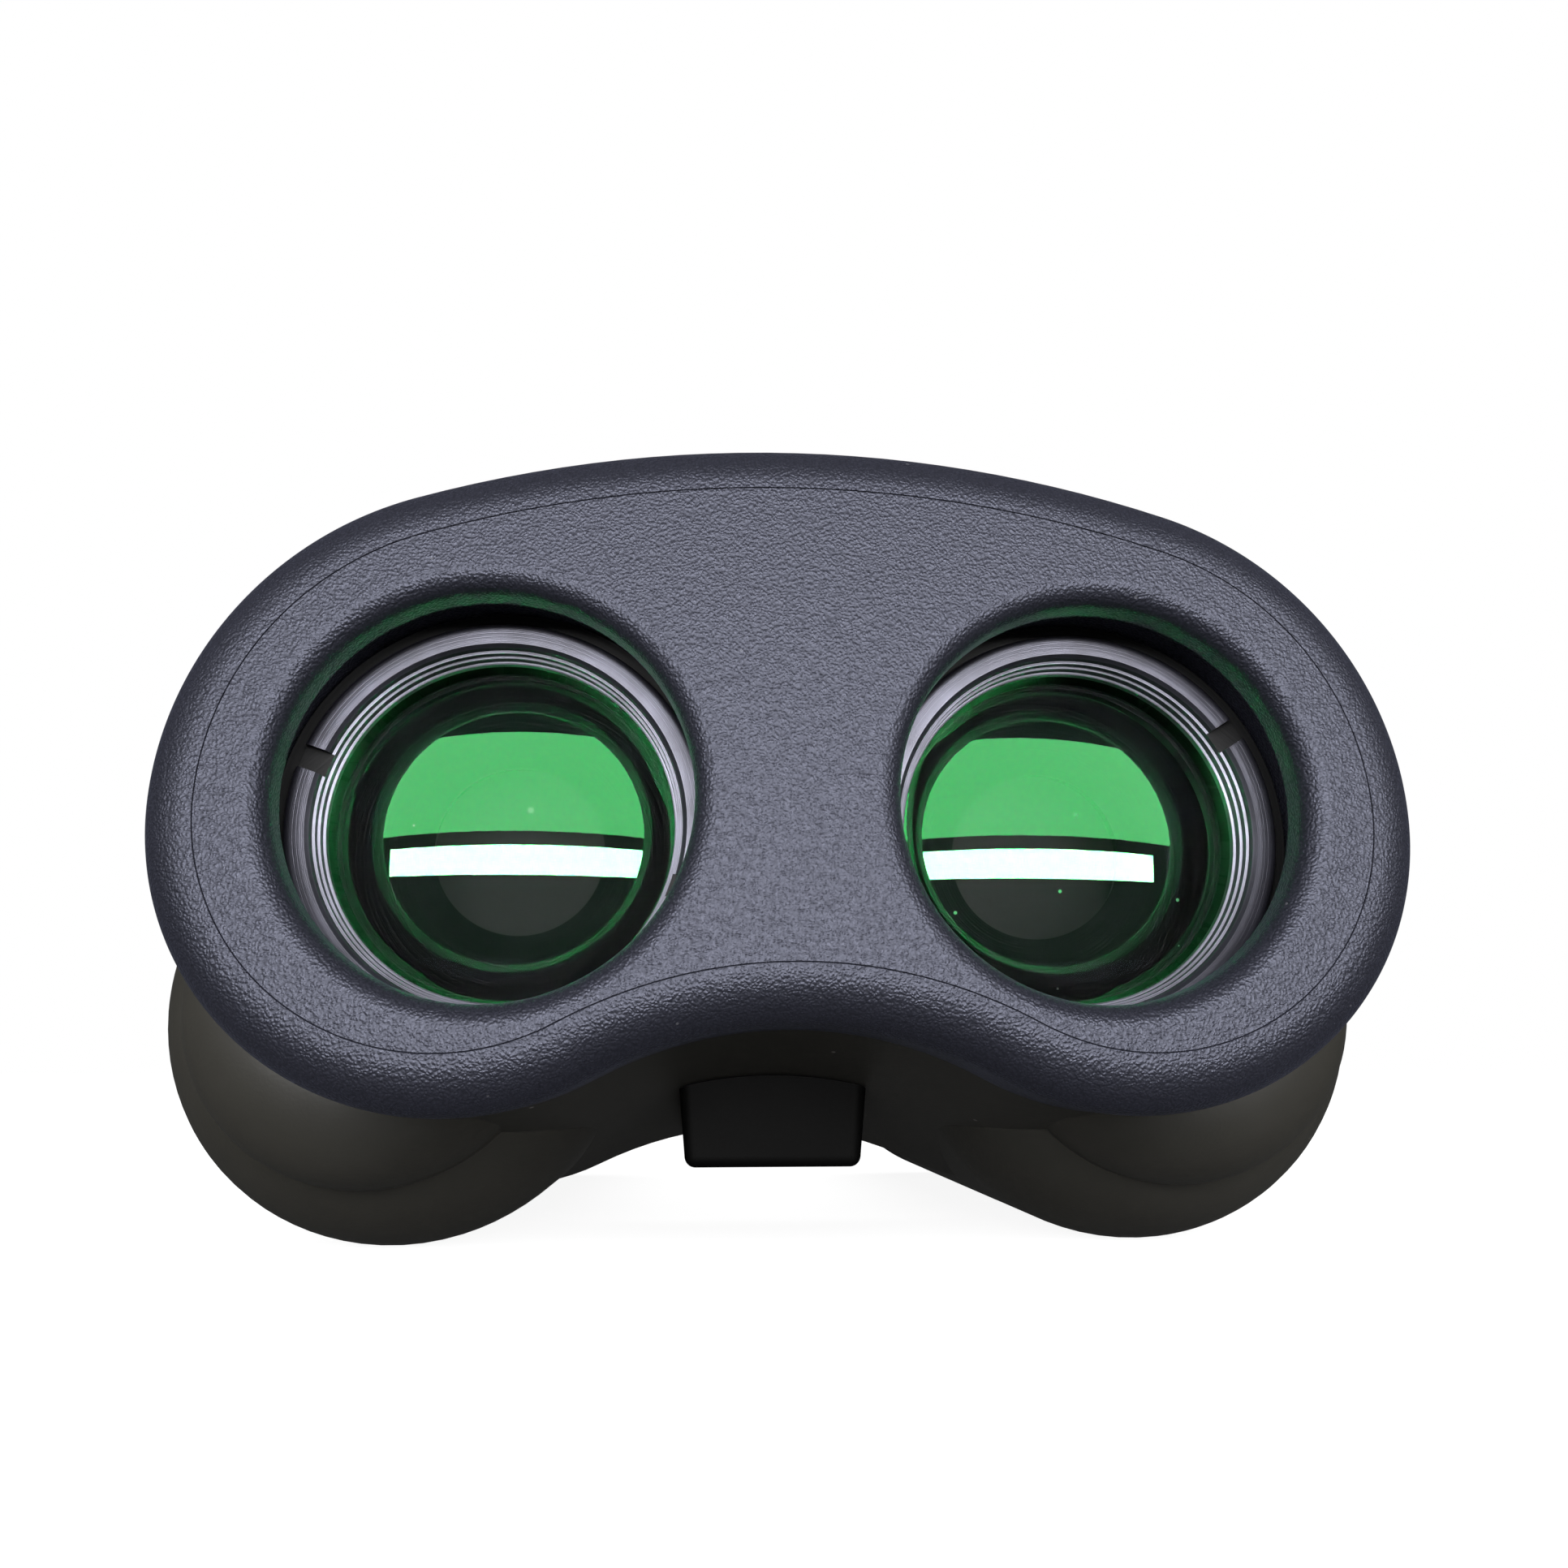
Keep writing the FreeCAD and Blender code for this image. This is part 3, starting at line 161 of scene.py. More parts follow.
bpy.context.scene.view_settings.view_transform = "Standard"

# ---- Face pad --------------------------------------------------------------------------------------
# One soft black rubber moulding that the user leans on: rounded all round, with a nose notch and two
# eye wells. It is moulded with a fine leather grain and a parting line, and bonded over the front.

pad_low, pad_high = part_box("face_pad")
pad_front = pad_low.y
pad_back = pad_high.y
lens_low, lens_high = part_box("eye_lens_right")
eye_x = round((lens_low.x + lens_high.x) / 2, 5)
eye_z = round((lens_low.z + lens_high.z) / 2, 5)
pad_round = 0.006
parting_inset = 0.0065
parting_width = 0.00016
cheek_x = eye_x + 0.0037
cheek_radius = 0.0318
shoulder_radius = 0.0376
top_rise = 0.0425
notch_rise = -0.0226


def pad_arcs(cheek_x, cheek, shoulder, top, notch):
    """The pad outline's arcs, clockwise from the top middle: centre, start angle and turn."""
    shoulder_x = cheek_x - shoulder + cheek
    top_arc = (shoulder_x ** 2 + top ** 2 - shoulder ** 2) / (2 * (top - shoulder))
    fall = -notch
    notch_arc = (cheek_x ** 2 + fall ** 2 - cheek ** 2) / (2 * (cheek - fall))
    lean = math.atan2(shoulder_x, top_arc - top)
    side = math.atan2(cheek_x, notch_arc + fall)
    return [((0, top - top_arc), lean),
            ((shoulder_x, 0), math.pi / 2 - lean),
            ((cheek_x, 0), math.pi / 2 + side),
            ((0, notch - notch_arc), -2 * side),
            ((-cheek_x, 0), math.pi / 2 + side),
            ((-shoulder_x, 0), math.pi / 2 - lean),
            ((0, top - top_arc), lean)]


def edit(piece):
    """Only this piece is selected, and it is in edit mode."""
    if bpy.context.mode != "OBJECT":
        bpy.ops.object.mode_set(mode="OBJECT")
    bpy.ops.object.select_all(action="DESELECT")
    piece.select_set(True)
    bpy.context.view_layer.objects.active = piece
    bpy.ops.object.mode_set(mode="EDIT")


def pick_faces(piece, test):
    """Selects the faces whose middle passes a test, in edit mode."""
    bpy.ops.mesh.select_mode(type="FACE")
    bpy.ops.mesh.select_all(action="DESELECT")
    shape = bmesh.from_edit_mesh(piece.data)
    for face in shape.faces:
        face.select_set(test(face.calc_center_median()))
    shape.select_flush_mode()
    bmesh.update_edit_mesh(piece.data)


def put_in_mesh(piece):
    """Moves a piece's place, turn and size into its mesh."""
    bpy.ops.object.mode_set(mode="OBJECT")
    bpy.ops.object.transform_apply(location=True, rotation=True, scale=True)


def pick_rim(piece, depth, right=None):
    """Selects the open edges at a depth, on both sides of the head or on one."""
    bpy.ops.mesh.select_mode(type="EDGE")
    bpy.ops.mesh.select_all(action="DESELECT")
    shape = bmesh.from_edit_mesh(piece.data)
    for edge in shape.edges:
        flat = all(abs(vertex.co.y - depth) < 0.00002 for vertex in edge.verts)
        side = right is None or (edge.verts[0].co.x > 0) == right
        if flat and side and len(edge.link_faces) < 2:
            edge.select_set(True)
    shape.select_flush_mode()
    bmesh.update_edit_mesh(piece.data)


def finish_piece(piece, smooth_angle):
    """Closes a piece's seams, turns its faces outwards and shades it, back in object mode."""
    bpy.ops.mesh.select_mode(type="VERT")
    bpy.ops.mesh.select_all(action="SELECT")
    bpy.ops.mesh.remove_doubles(threshold=0.000004)
    bpy.ops.mesh.normals_make_consistent(inside=False)
    bpy.ops.object.mode_set(mode="OBJECT")
    bpy.ops.object.shade_smooth_by_angle(angle=math.radians(smooth_angle))


outline_y = pad_back - 0.0015
bpy.ops.object.select_all(action="DESELECT")
bpy.ops.mesh.primitive_plane_add(size=0.001, location=(0, outline_y, eye_z + top_rise))
pad = bpy.context.active_object
pad.name = "face_pad_moulding"
put_in_mesh(pad)
edit(pad)
bpy.ops.mesh.select_all(action="SELECT")
bpy.ops.mesh.merge(type="CENTER")
for (arc_x, arc_z), turn in pad_arcs(
        cheek_x, cheek_radius, shoulder_radius, top_rise, notch_rise):
    bpy.ops.mesh.spin(steps=max(8, round(abs(turn) * 40)), angle=-turn,
                      center=(arc_x, outline_y, eye_z + arc_z), axis=(0, 1, 0))
bpy.ops.mesh.select_all(action="SELECT")
bpy.ops.mesh.remove_doubles(threshold=0.00003)
bpy.ops.mesh.edge_face_add()
bpy.ops.mesh.extrude_region_move(
    TRANSFORM_OT_translate={"value": (0, pad_front + pad_round - outline_y, 0)})
bpy.ops.mesh.select_all(action="SELECT")
bpy.ops.mesh.normals_make_consistent(inside=False)
pick_faces(pad, lambda middle: middle.y < pad_front + pad_round + 0.0001)
done_inset = 0
done_rise = 0
for angle in (math.radians(step) for step in range(6, 91, 6)):
    inset = pad_round * (1 - math.cos(angle))
    rise = pad_round * math.sin(angle)
    bpy.ops.mesh.inset(thickness=inset - done_inset, depth=rise - done_rise)
    done_inset = inset
    done_rise = rise
bpy.ops.mesh.inset(thickness=parting_inset - pad_round - 0.0001, depth=0)
bpy.ops.mesh.inset(thickness=parting_width / 2, depth=-parting_width)
bpy.ops.mesh.inset(thickness=parting_width / 2, depth=parting_width)
bpy.ops.mesh.delete(type="ONLY_FACE")
pick_faces(pad, lambda middle: abs(middle.y - outline_y) < 0.00001)
bpy.ops.mesh.inset(thickness=0.0004, depth=0.0011)
bpy.ops.mesh.inset(thickness=0.0011, depth=0.0004)
bpy.ops.mesh.delete(type="ONLY_FACE")

well_radius = 0.022
well_round = 0.0026
well_rise = 0.0016
well_mouth = well_radius + well_round + 0.00015
lip_depth = 0.0055
lip_round = 0.0004
chamber_radius = 0.0258
for sign in (-1, 1):
    bpy.ops.mesh.primitive_circle_add(
        vertices=120, radius=well_mouth, location=(sign * eye_x, pad_front, eye_z + well_rise),
        rotation=(math.pi / 2, 0, 0))
pick_rim(pad, pad_front)
bpy.ops.mesh.fill(use_beauty=True)
well_steps = [(well_round * (1 - math.cos(angle)),
               well_radius + well_round * (1 - math.sin(angle)), well_rise)
              for angle in (math.radians(step) for step in range(0, 91, 9))]
well_steps += [(lip_depth - lip_round, well_radius, well_rise),
               (lip_depth, well_radius + lip_round, well_rise),
               (lip_depth, chamber_radius, 0), (pad_back - pad_front, chamber_radius, 0)]
for sign in (-1, 1):
    depth = 0
    radius = well_mouth
    centre_rise = well_rise
    pick_rim(pad, pad_front, right=sign > 0)
    for next_depth, next_radius, next_rise in well_steps:
        bpy.ops.mesh.extrude_edges_move(TRANSFORM_OT_translate={
            "value": (0, next_depth - depth, next_rise - centre_rise)})
        share = next_radius / radius
        bpy.ops.transform.resize(value=(share, 1, share), center_override=(
            sign * eye_x, pad_front + next_depth, eye_z + next_rise))
        depth, radius, centre_rise = next_depth, next_radius, next_rise
pick_rim(pad, pad_back)
bpy.ops.mesh.fill(use_beauty=True)
finish_piece(pad, 38)


def effect_group(name, inputs, outputs):
    """A shader node group with named inputs and outputs. Gives it and its two end nodes."""
    group = bpy.data.node_groups.new(name, "ShaderNodeTree")
    group.interface.new_socket("Vector", in_out="INPUT", socket_type="NodeSocketVector")
    for label, value in inputs.items():
        socket = group.interface.new_socket(label, in_out="INPUT", socket_type="NodeSocketFloat")
        socket.default_value = value
    for label in outputs:
        group.interface.new_socket(label, in_out="OUTPUT", socket_type="NodeSocketFloat")
    return group, group.nodes.new("NodeGroupInput"), group.nodes.new("NodeGroupOutput")


grain_group, group_in, group_out = effect_group(
    "leather_grain", {"Pebbles per metre": 3100, "Fine share": 0.35}, ["Height", "Crease"])
waver = add_node(grain_group, "ShaderNodeTexNoise", Scale=700.0, Detail=2.0)
waver_size = add_node(grain_group, "ShaderNodeVectorMath", operation="MULTIPLY_ADD")
waver_size.inputs[1].default_value = (0.0007, 0.0007, 0.0007)
pebbles = add_node(grain_group, "ShaderNodeTexVoronoi", feature="SMOOTH_F1", Smoothness=0.55)
skin = add_node(grain_group, "ShaderNodeTexNoise", Scale=5200.0, Detail=3.0)
grain_group.links.new(group_in.outputs["Vector"], waver.inputs["Vector"])
grain_group.links.new(group_in.outputs["Vector"], skin.inputs["Vector"])
grain_group.links.new(waver.outputs["Color"], waver_size.inputs[0])
grain_group.links.new(group_in.outputs["Vector"], waver_size.inputs[2])
grain_group.links.new(waver_size.outputs["Vector"], pebbles.inputs["Vector"])
grain_group.links.new(group_in.outputs["Pebbles per metre"], pebbles.inputs["Scale"])
domes = maths(grain_group, "SUBTRACT", 1.0, pebbles.outputs["Distance"])
fine = maths(grain_group, "MULTIPLY", skin.outputs["Fac"], group_in.outputs["Fine share"])
grain_group.links.new(maths(grain_group, "ADD", domes, fine), group_out.inputs["Height"])
grain_group.links.new(pebbles.outputs["Distance"], group_out.inputs["Crease"])

dust_group, group_in, group_out = effect_group(
    "dust_specks", {"Specks per metre": 500, "Share": 0.2}, ["Mask"])
specks = add_node(dust_group, "ShaderNodeTexVoronoi", feature="F1")
dust_group.links.new(group_in.outputs["Vector"], specks.inputs["Vector"])
dust_group.links.new(group_in.outputs["Specks per metre"], specks.inputs["Scale"])
tone = dust_group.nodes.new("ShaderNodeSeparateColor")
dust_group.links.new(specks.outputs["Color"], tone.inputs["Color"])
near = maths(dust_group, "LESS_THAN", specks.outputs["Distance"], 0.09)
few = maths(dust_group, "LESS_THAN", tone.outputs["Red"], group_in.outputs["Share"])
dust_group.links.new(maths(dust_group, "MULTIPLY", near, few), group_out.inputs["Mask"])


def place_effect(tree, group, centre=(0, 0, 0), **values):
    """A shared effect in a material, on Object coordinates about a centre."""
    place = tree.nodes.new("ShaderNodeTexCoord")
    mapping = tree.nodes.new("ShaderNodeMapping")
    mapping.inputs["Location"].default_value = (-centre[0], -centre[1], -centre[2])
    tree.links.new(place.outputs["Object"], mapping.inputs["Vector"])
    effect = tree.nodes.new("ShaderNodeGroup")
    effect.node_tree = group
    tree.links.new(mapping.outputs["Vector"], effect.inputs["Vector"])
    for label, value in values.items():
        effect.inputs[label.replace("_", " ")].default_value = value
    return effect


def blend_color(tree, shader, mask, first, second):
    """Mixes two colours by a mask into a shader's base colour. A colour may be a socket."""
    mix = tree.nodes.new("ShaderNodeMix")
    mix.data_type = "RGBA"
    tree.links.new(mask, mix.inputs["Factor"])
    for label, value in (("A", first), ("B", second)):
        socket = [item for item in mix.inputs if item.name == label and item.type == "RGBA"][0]
        if isinstance(value, tuple):
            socket.default_value = (*value, 1)
        else:
            tree.links.new(value, socket)
    result = [item for item in mix.outputs if item.type == "RGBA"][0]
    tree.links.new(result, shader.inputs["Base Color"])
    return result


def blend_value(tree, socket, mask, low, high):
    """Spreads a mask between two numbers into a shader's socket."""
    spread = tree.nodes.new("ShaderNodeMapRange")
    spread.inputs["To Min"].default_value = low
    spread.inputs["To Max"].default_value = high
    tree.links.new(mask, spread.inputs["Value"])
    tree.links.new(spread.outputs["Result"], socket)


def raise_surface(tree, shader, height, distance, strength):
    """Bumps a shader's surface by a height."""
    bump = tree.nodes.new("ShaderNodeBump")
    bump.inputs["Distance"].default_value = distance
    bump.inputs["Strength"].default_value = strength
    tree.links.new(height, bump.inputs["Height"])
    tree.links.new(bump.outputs["Normal"], shader.inputs["Normal"])


pad_look, tree, shader = flat_look("pad_rubber_grained", (0.07, 0.07, 0.09), 0.5)
grain = place_effect(tree, grain_group)
dust = place_effect(tree, dust_group, Specks_per_metre=480, Share=0.05)
# The grain's creases are painted darker than the pebbles, as painted shade; the light specks are
# dust.
crease_painted_shade = blend_color(tree, shader, grain.outputs["Crease"], (0.02, 0.0205, 0.029),
                      (0.007, 0.0072, 0.0105))
blend_color(tree, shader, dust.outputs["Mask"], crease_painted_shade, (0.07, 0.07, 0.08))
blend_value(tree, shader.inputs["Roughness"], grain.outputs["Crease"], 0.34, 0.52)
shader.inputs["Specular IOR Level"].default_value = 0.22
shader.inputs["Specular Tint"].default_value = (0.76, 0.79, 1, 1)
raise_surface(tree, shader, grain.outputs["Height"], 0.00017, 0.6)
shader.inputs["Sheen Weight"].default_value = 0.06
shader.inputs["Sheen Roughness"].default_value = 0.4
shader.inputs["Sheen Tint"].default_value = (0.6, 0.66, 1, 1)
pad.data.materials.append(pad_look)
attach(pad, "head")
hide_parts("face_pad")

# ---- Turned and anodised eyepiece parts ------------------------------------------------------------
# Each eyepiece is a black anodised aluminium barrel with a screwed ring in front of its lens. Both
# are turned, so fine marks run round their axis, and the ring has two slots for a spanner.

turned_group, group_in, group_out = effect_group(
    "turning_marks", {"Marks per metre": 6000}, ["Height", "Shade"])
parts = turned_group.nodes.new("ShaderNodeSeparateXYZ")
turned_group.links.new(group_in.outputs["Vector"], parts.inputs["Vector"])
across = maths(turned_group, "MULTIPLY", parts.outputs["X"], parts.outputs["X"])
upwards = maths(turned_group, "MULTIPLY", parts.outputs["Z"], parts.outputs["Z"])
radius_out = maths(turned_group, "SQRT", maths(turned_group, "ADD", across, upwards), 0)
along = maths(turned_group, "MULTIPLY", parts.outputs["Y"], 1.3)
travel = maths(turned_group, "ADD", radius_out, along)
marks = add_node(turned_group, "ShaderNodeTexNoise", noise_dimensions="1D", Scale=1.0, Detail=3.0)
turned_group.links.new(
    maths(turned_group, "MULTIPLY", travel, group_in.outputs["Marks per metre"]),
    marks.inputs["W"])
stain = add_node(turned_group, "ShaderNodeTexNoise", Scale=180.0, Detail=4.0)
turned_group.links.new(group_in.outputs["Vector"], stain.inputs["Vector"])
turned_group.links.new(marks.outputs["Fac"], group_out.inputs["Height"])
turned_group.links.new(maths(turned_group, "MULTIPLY", marks.outputs["Fac"],
                             stain.outputs["Fac"]), group_out.inputs["Shade"])


def turned_look(name, centre, dark, light, metallic, smooth, rough, marks_per_metre, depth,
                shine=0.5):
    """A turned metal with marks round an axis along Y through a centre."""
    material, tree, shader = flat_look(name, dark, rough)
    shader.inputs["Specular IOR Level"].default_value = shine
    shader.inputs["Metallic"].default_value = metallic
    turning = place_effect(tree, turned_group, centre, Marks_per_metre=marks_per_metre)
    blend_color(tree, shader, turning.outputs["Shade"], dark, light)
    blend_value(tree, shader.inputs["Roughness"], turning.outputs["Shade"], rough, smooth)
    raise_surface(tree, shader, turning.outputs["Height"], depth, 0.6)
    return material


def paint_node(name, material):
    """A CAD node takes a material all over."""
    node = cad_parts[name]
    if not node.material_slots:
        node.data.materials.append(material)
    for slot in node.material_slots:
        slot.material = material


def turned_piece(name, centre_x, centre_z, profile, steps=120, smooth_angle=30):
    """A piece turned round an axis along Y, from a closed profile of (radius, depth) points."""
    bpy.ops.object.select_all(action="DESELECT")
    bpy.ops.mesh.primitive_plane_add(
        size=0.001, location=(centre_x + profile[0][0], profile[0][1], centre_z))
    piece = bpy.context.active_object
    piece.name = name
    put_in_mesh(piece)
    edit(piece)
    bpy.ops.mesh.select_all(action="SELECT")
    bpy.ops.mesh.merge(type="CENTER")
    for (radius, depth), (next_radius, next_depth) in zip(profile, profile[1:]):
        bpy.ops.mesh.extrude_vertices_move(TRANSFORM_OT_translate={
            "value": (next_radius - radius, next_depth - depth, 0)})
    bpy.ops.mesh.select_all(action="SELECT")
    bpy.ops.mesh.spin(steps=steps, angle=2 * math.pi, center=(centre_x, 0, centre_z),
                      axis=(0, 1, 0))
    finish_piece(piece, smooth_angle)
    return piece


def cut_slot(piece, name, place, angle, size):
    """Cuts a straight box-shaped slot right across a turned piece."""
    bpy.ops.object.select_all(action="DESELECT")
    bpy.ops.mesh.primitive_cube_add(size=1, location=place, rotation=(0, -angle, 0))
    cutter = bpy.context.active_object
    cutter.scale = size
    cut = piece.modifiers.new(name, "BOOLEAN")
    cut.operation = "DIFFERENCE"
    cut.object = cutter
    cut.solver = "EXACT"
    bpy.context.view_layer.objects.active = piece
    bpy.ops.object.modifier_apply(modifier=name)
    bpy.data.objects.remove(cutter)


SIDES = (("left", -1), ("right", 1))
# The slot floors are painted near black and nearly unshiny, as painted shade in the narrow spanner
# slots.
slot_painted_shade_look = turned_look("slot_floor_painted_shade", (0, 0, 0), (0.004, 0.004, 0.005), (0.012, 0.012, 0.014), 0.0,
                        0.5, 0.7, 3000, 0.00004, 0.15)
ring_front = pad_front + 0.01135
ring_back = ring_front + 0.0046
ring_shoulder = ring_front + 0.002
ring_bore = 0.0197
ring_thread = 0.0214
ring_reach = 0.0236
ring_round = 0.0009
bore_steps = [(0, 0.0036), (0.0003, 0.0035), (0.0003, 0.0024), (0.0006, 0.0023),
              (0.0006, 0.0013), (0.0009, 0.0012), (0.001, 0.0004), (0.0014, 0)]
slot_length = 0.05
slot_width = 0.0027
slot_depth = 0.0014
slot_turns = {"left": 161, "right": 32}
for side, sign in SIDES:
    axis_point = (sign * eye_x, 0, eye_z)
    ring_look = turned_look("ring_anodised_" + side, axis_point, (0.010, 0.010, 0.014),
                            (0.12, 0.12, 0.16), 0.6, 0.26, 0.4, 7000, 0.00005)
    profile = [(ring_bore, ring_back)]
    profile += [(ring_bore + widening, ring_front + depth) for widening, depth in bore_steps]
    profile += [(ring_reach - ring_round * (1 - math.sin(turn)),
                 ring_front + ring_round * (1 - math.cos(turn)))
                for turn in (math.radians(step) for step in range(0, 91, 15))]
    profile += [(ring_reach, ring_shoulder), (ring_thread, ring_shoulder),
                (ring_thread, ring_back), (ring_bore, ring_back)]
    eye_ring = turned_piece("eye_ring_turned_" + side, sign * eye_x, eye_z, profile, 160, 25)
    cut_slot(eye_ring, "spanner_slots", (sign * eye_x, ring_front, eye_z),
             math.radians(slot_turns[side]), (slot_length, 2 * slot_depth, slot_width))
    for material in (ring_look, slot_painted_shade_look):
        eye_ring.data.materials.append(material)
    # Faces on the slot floors take the painted-shade look.
    for face in eye_ring.data.polygons:
        on_floor = abs(face.center.y - ring_front - slot_depth) < 0.00001
        if on_floor and abs(face.normal.y) > 0.9:
            face.material_index = 1
    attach(eye_ring, "head")
    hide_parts("eye_lens_ring_" + side)
    # The barrel, spacer, stop ring and locknut are black anodised, and painted darker and less shiny
    # still, as painted shade inside the eyepiece.
    barrel_painted_shade_look = turned_look("eyepiece_anodised_and_painted_shade_" + side, axis_point, (0.002, 0.002, 0.0025),
                              (0.008, 0.008, 0.01), 0.0, 0.5, 0.7, 3000, 0.00005, 0.15)
    for name in ("eyepiece_barrel_", "lens_spacer_", "field_stop_ring_", "eyepiece_locknut_"):
        paint_node(name + side, barrel_painted_shade_look)

# ---- Lenses ----------------------------------------------------------------------------------------
# Polished optical glass with an anti-reflection coating, which throws back green. The eye lens has
# a few dust specks on its front. Each is held at its edge, which is ground.


def lens_look(name, tint, index, coat, dust_share):
    """Clear glass. The tint is what its anti-reflection layer throws back, and coat adds white."""
    material, tree, shader = flat_look(name, (0.97, 1, 0.98), 0.0)
    shader.inputs["Transmission Weight"].default_value = 1
    shader.inputs["IOR"].default_value = index
    shader.inputs["Specular Tint"].default_value = (*tint, 1)
    shader.inputs["Coat Weight"].default_value = coat
    shader.inputs["Coat Roughness"].default_value = 0.0
    dust = place_effect(tree, dust_group, Specks_per_metre=420, Share=dust_share)
    blend_value(tree, shader.inputs["Roughness"], dust.outputs["Mask"], 0.0, 0.5)
    blend_color(tree, shader, dust.outputs["Mask"], (0.97, 1, 0.98), (0.75, 0.75, 0.75))
    return material


def dome(reach, curve, edge_depth, rise):
    """Points of a domed face from its middle out to a reach. Rise is -1 to bulge towards -Y."""
    points = []
    steps = 14
    for step in range(steps + 1):
        radius = reach * step / steps
        height = math.sqrt(curve ** 2 - radius ** 2) - math.sqrt(curve ** 2 - reach ** 2)
        points.append((radius, edge_depth + rise * height))
    return points


eye_glass = lens_look("eye_glass_coated", (0.02, 1.0, 0.18), 1.62, 0.21, 0.08)
back_glass = lens_look("eye_glass_back", (0.01, 0.03, 0.02), 1.62, 0, 0)
inner_glass = lens_look("inner_glass_coated", (0.03, 0.05, 0.08), 1.52, 0, 0.02)
front_glass = lens_look("objective_glass_coated", (0.06, 0.7, 0.35), 1.52, 0.05, 0.06)
edge_look, tree, shader = flat_look("lens_edge_blackened", (0.012, 0.012, 0.012), 0.8)
ground = add_node(tree, "ShaderNodeTexNoise", Scale=4000.0, Detail=2.0)
blend_color(tree, shader, ground.outputs["Fac"], (0.006, 0.006, 0.006), (0.03, 0.03, 0.03))
raise_surface(tree, shader, ground.outputs["Fac"], 0.00003, 0.5)
lens_radius = 0.0214
front_reach = 0.0197
front_curve = 0.07
back_reach = 0.019
back_curve = 0.26
land_width = 0.004
chamfer = 0.0003
for side, sign in SIDES:
    lens_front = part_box("eye_lens_" + side)[0].y
    land_front = lens_front + front_curve - math.sqrt(front_curve ** 2 - front_reach ** 2)
    land_back = land_front + land_width
    profile = dome(front_reach, front_curve, land_front, -1)
    profile += [(lens_radius - chamfer, land_front), (lens_radius, land_front + chamfer),
                (lens_radius, land_back - chamfer), (lens_radius - chamfer, land_back)]
    profile += reversed(dome(back_reach, back_curve, land_back, 1))
    eye_lens = turned_piece("eye_lens_glass_" + side, sign * eye_x, eye_z, profile)
    for material in (eye_glass, back_glass, edge_look):
        eye_lens.data.materials.append(material)
    for face in eye_lens.data.polygons:
        reach = math.hypot(face.center.x - sign * eye_x, face.center.z - eye_z)
        if reach > front_reach + 0.0002:
            face.material_index = 2
        elif face.center.y > land_front + land_width / 2:
            face.material_index = 1
    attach(eye_lens, "head")
    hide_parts("eye_lens_" + side)
    paint_node("field_lens_" + side, inner_glass)
    paint_node("flint_lens_" + side, inner_glass)
    paint_node("crown_lens_" + side, front_glass)

# ---- Housing, objective barrels and mounting block -------------------------------------------------
# Aluminium castings and turned tubes, bead blasted and then painted in one smooth satin dark grey,
# and the block in a near black that is painted shade.
# The barrels screw into the housing, and two screws hold the block under its neck.

paint_group, group_in, group_out = effect_group(
    "satin_paint", {"Speckle per metre": 1900, "Cloud per metre": 45}, ["Height", "Tone"])
orange_peel = add_node(paint_group, "ShaderNodeTexNoise", Detail=2.0)
cloud = add_node(paint_group, "ShaderNodeTexNoise", Detail=3.0)
for node, label in ((orange_peel, "Speckle per metre"), (cloud, "Cloud per metre")):
    paint_group.links.new(group_in.outputs["Vector"], node.inputs["Vector"])
    paint_group.links.new(group_in.outputs[label], node.inputs["Scale"])
paint_group.links.new(orange_peel.outputs["Fac"], group_out.inputs["Height"])
paint_group.links.new(cloud.outputs["Fac"], group_out.inputs["Tone"])


def painted_look(name, dark, light, smooth, rough, shine=0.5):
    """Satin paint over a blasted face, clouded between two tones, with a little dust."""
    material, tree, shader = flat_look(name, dark, rough)
    shader.inputs["Specular IOR Level"].default_value = shine
    paint = place_effect(tree, paint_group)
    dust = place_effect(tree, dust_group, Specks_per_metre=300, Share=0.05)
    clouded = blend_color(tree, shader, paint.outputs["Tone"], dark, light)
    blend_color(tree, shader, dust.outputs["Mask"], clouded, (0.22, 0.21, 0.2))
    blend_value(tree, shader.inputs["Roughness"], paint.outputs["Tone"], smooth, rough)
    raise_surface(tree, shader, paint.outputs["Height"], 0.00005, 0.35)
    return material


casting_look = painted_look("casting_paint", (0.026, 0.0245, 0.0195), (0.041, 0.0385, 0.032), 0.36,
                            0.5, 0.35)
# The block's paint is near black and nearly unshiny, as painted shade under the housing's neck.
block_painted_shade_look = painted_look("block_paint", (0.002, 0.002, 0.002), (0.004, 0.004, 0.0038), 0.6,
                          0.7, 0.02)
paint_node("housing", casting_look)
paint_node("mounting_block", block_painted_shade_look)
for side in ("left", "right"):
    paint_node("objective_barrel_" + side, casting_look)

# ---- Objectives: hoods, rings and seals ------------------------------------------------------------
# Soft rubber hoods are pushed over the front of the barrels. Inside, a turned ring holds the two
# objective lenses against a rubber seal.

rubber_look, tree, shader = flat_look("hood_rubber_matt", (0.03, 0.03, 0.032), 0.7)
grain = place_effect(tree, grain_group, Pebbles_per_metre=2400)
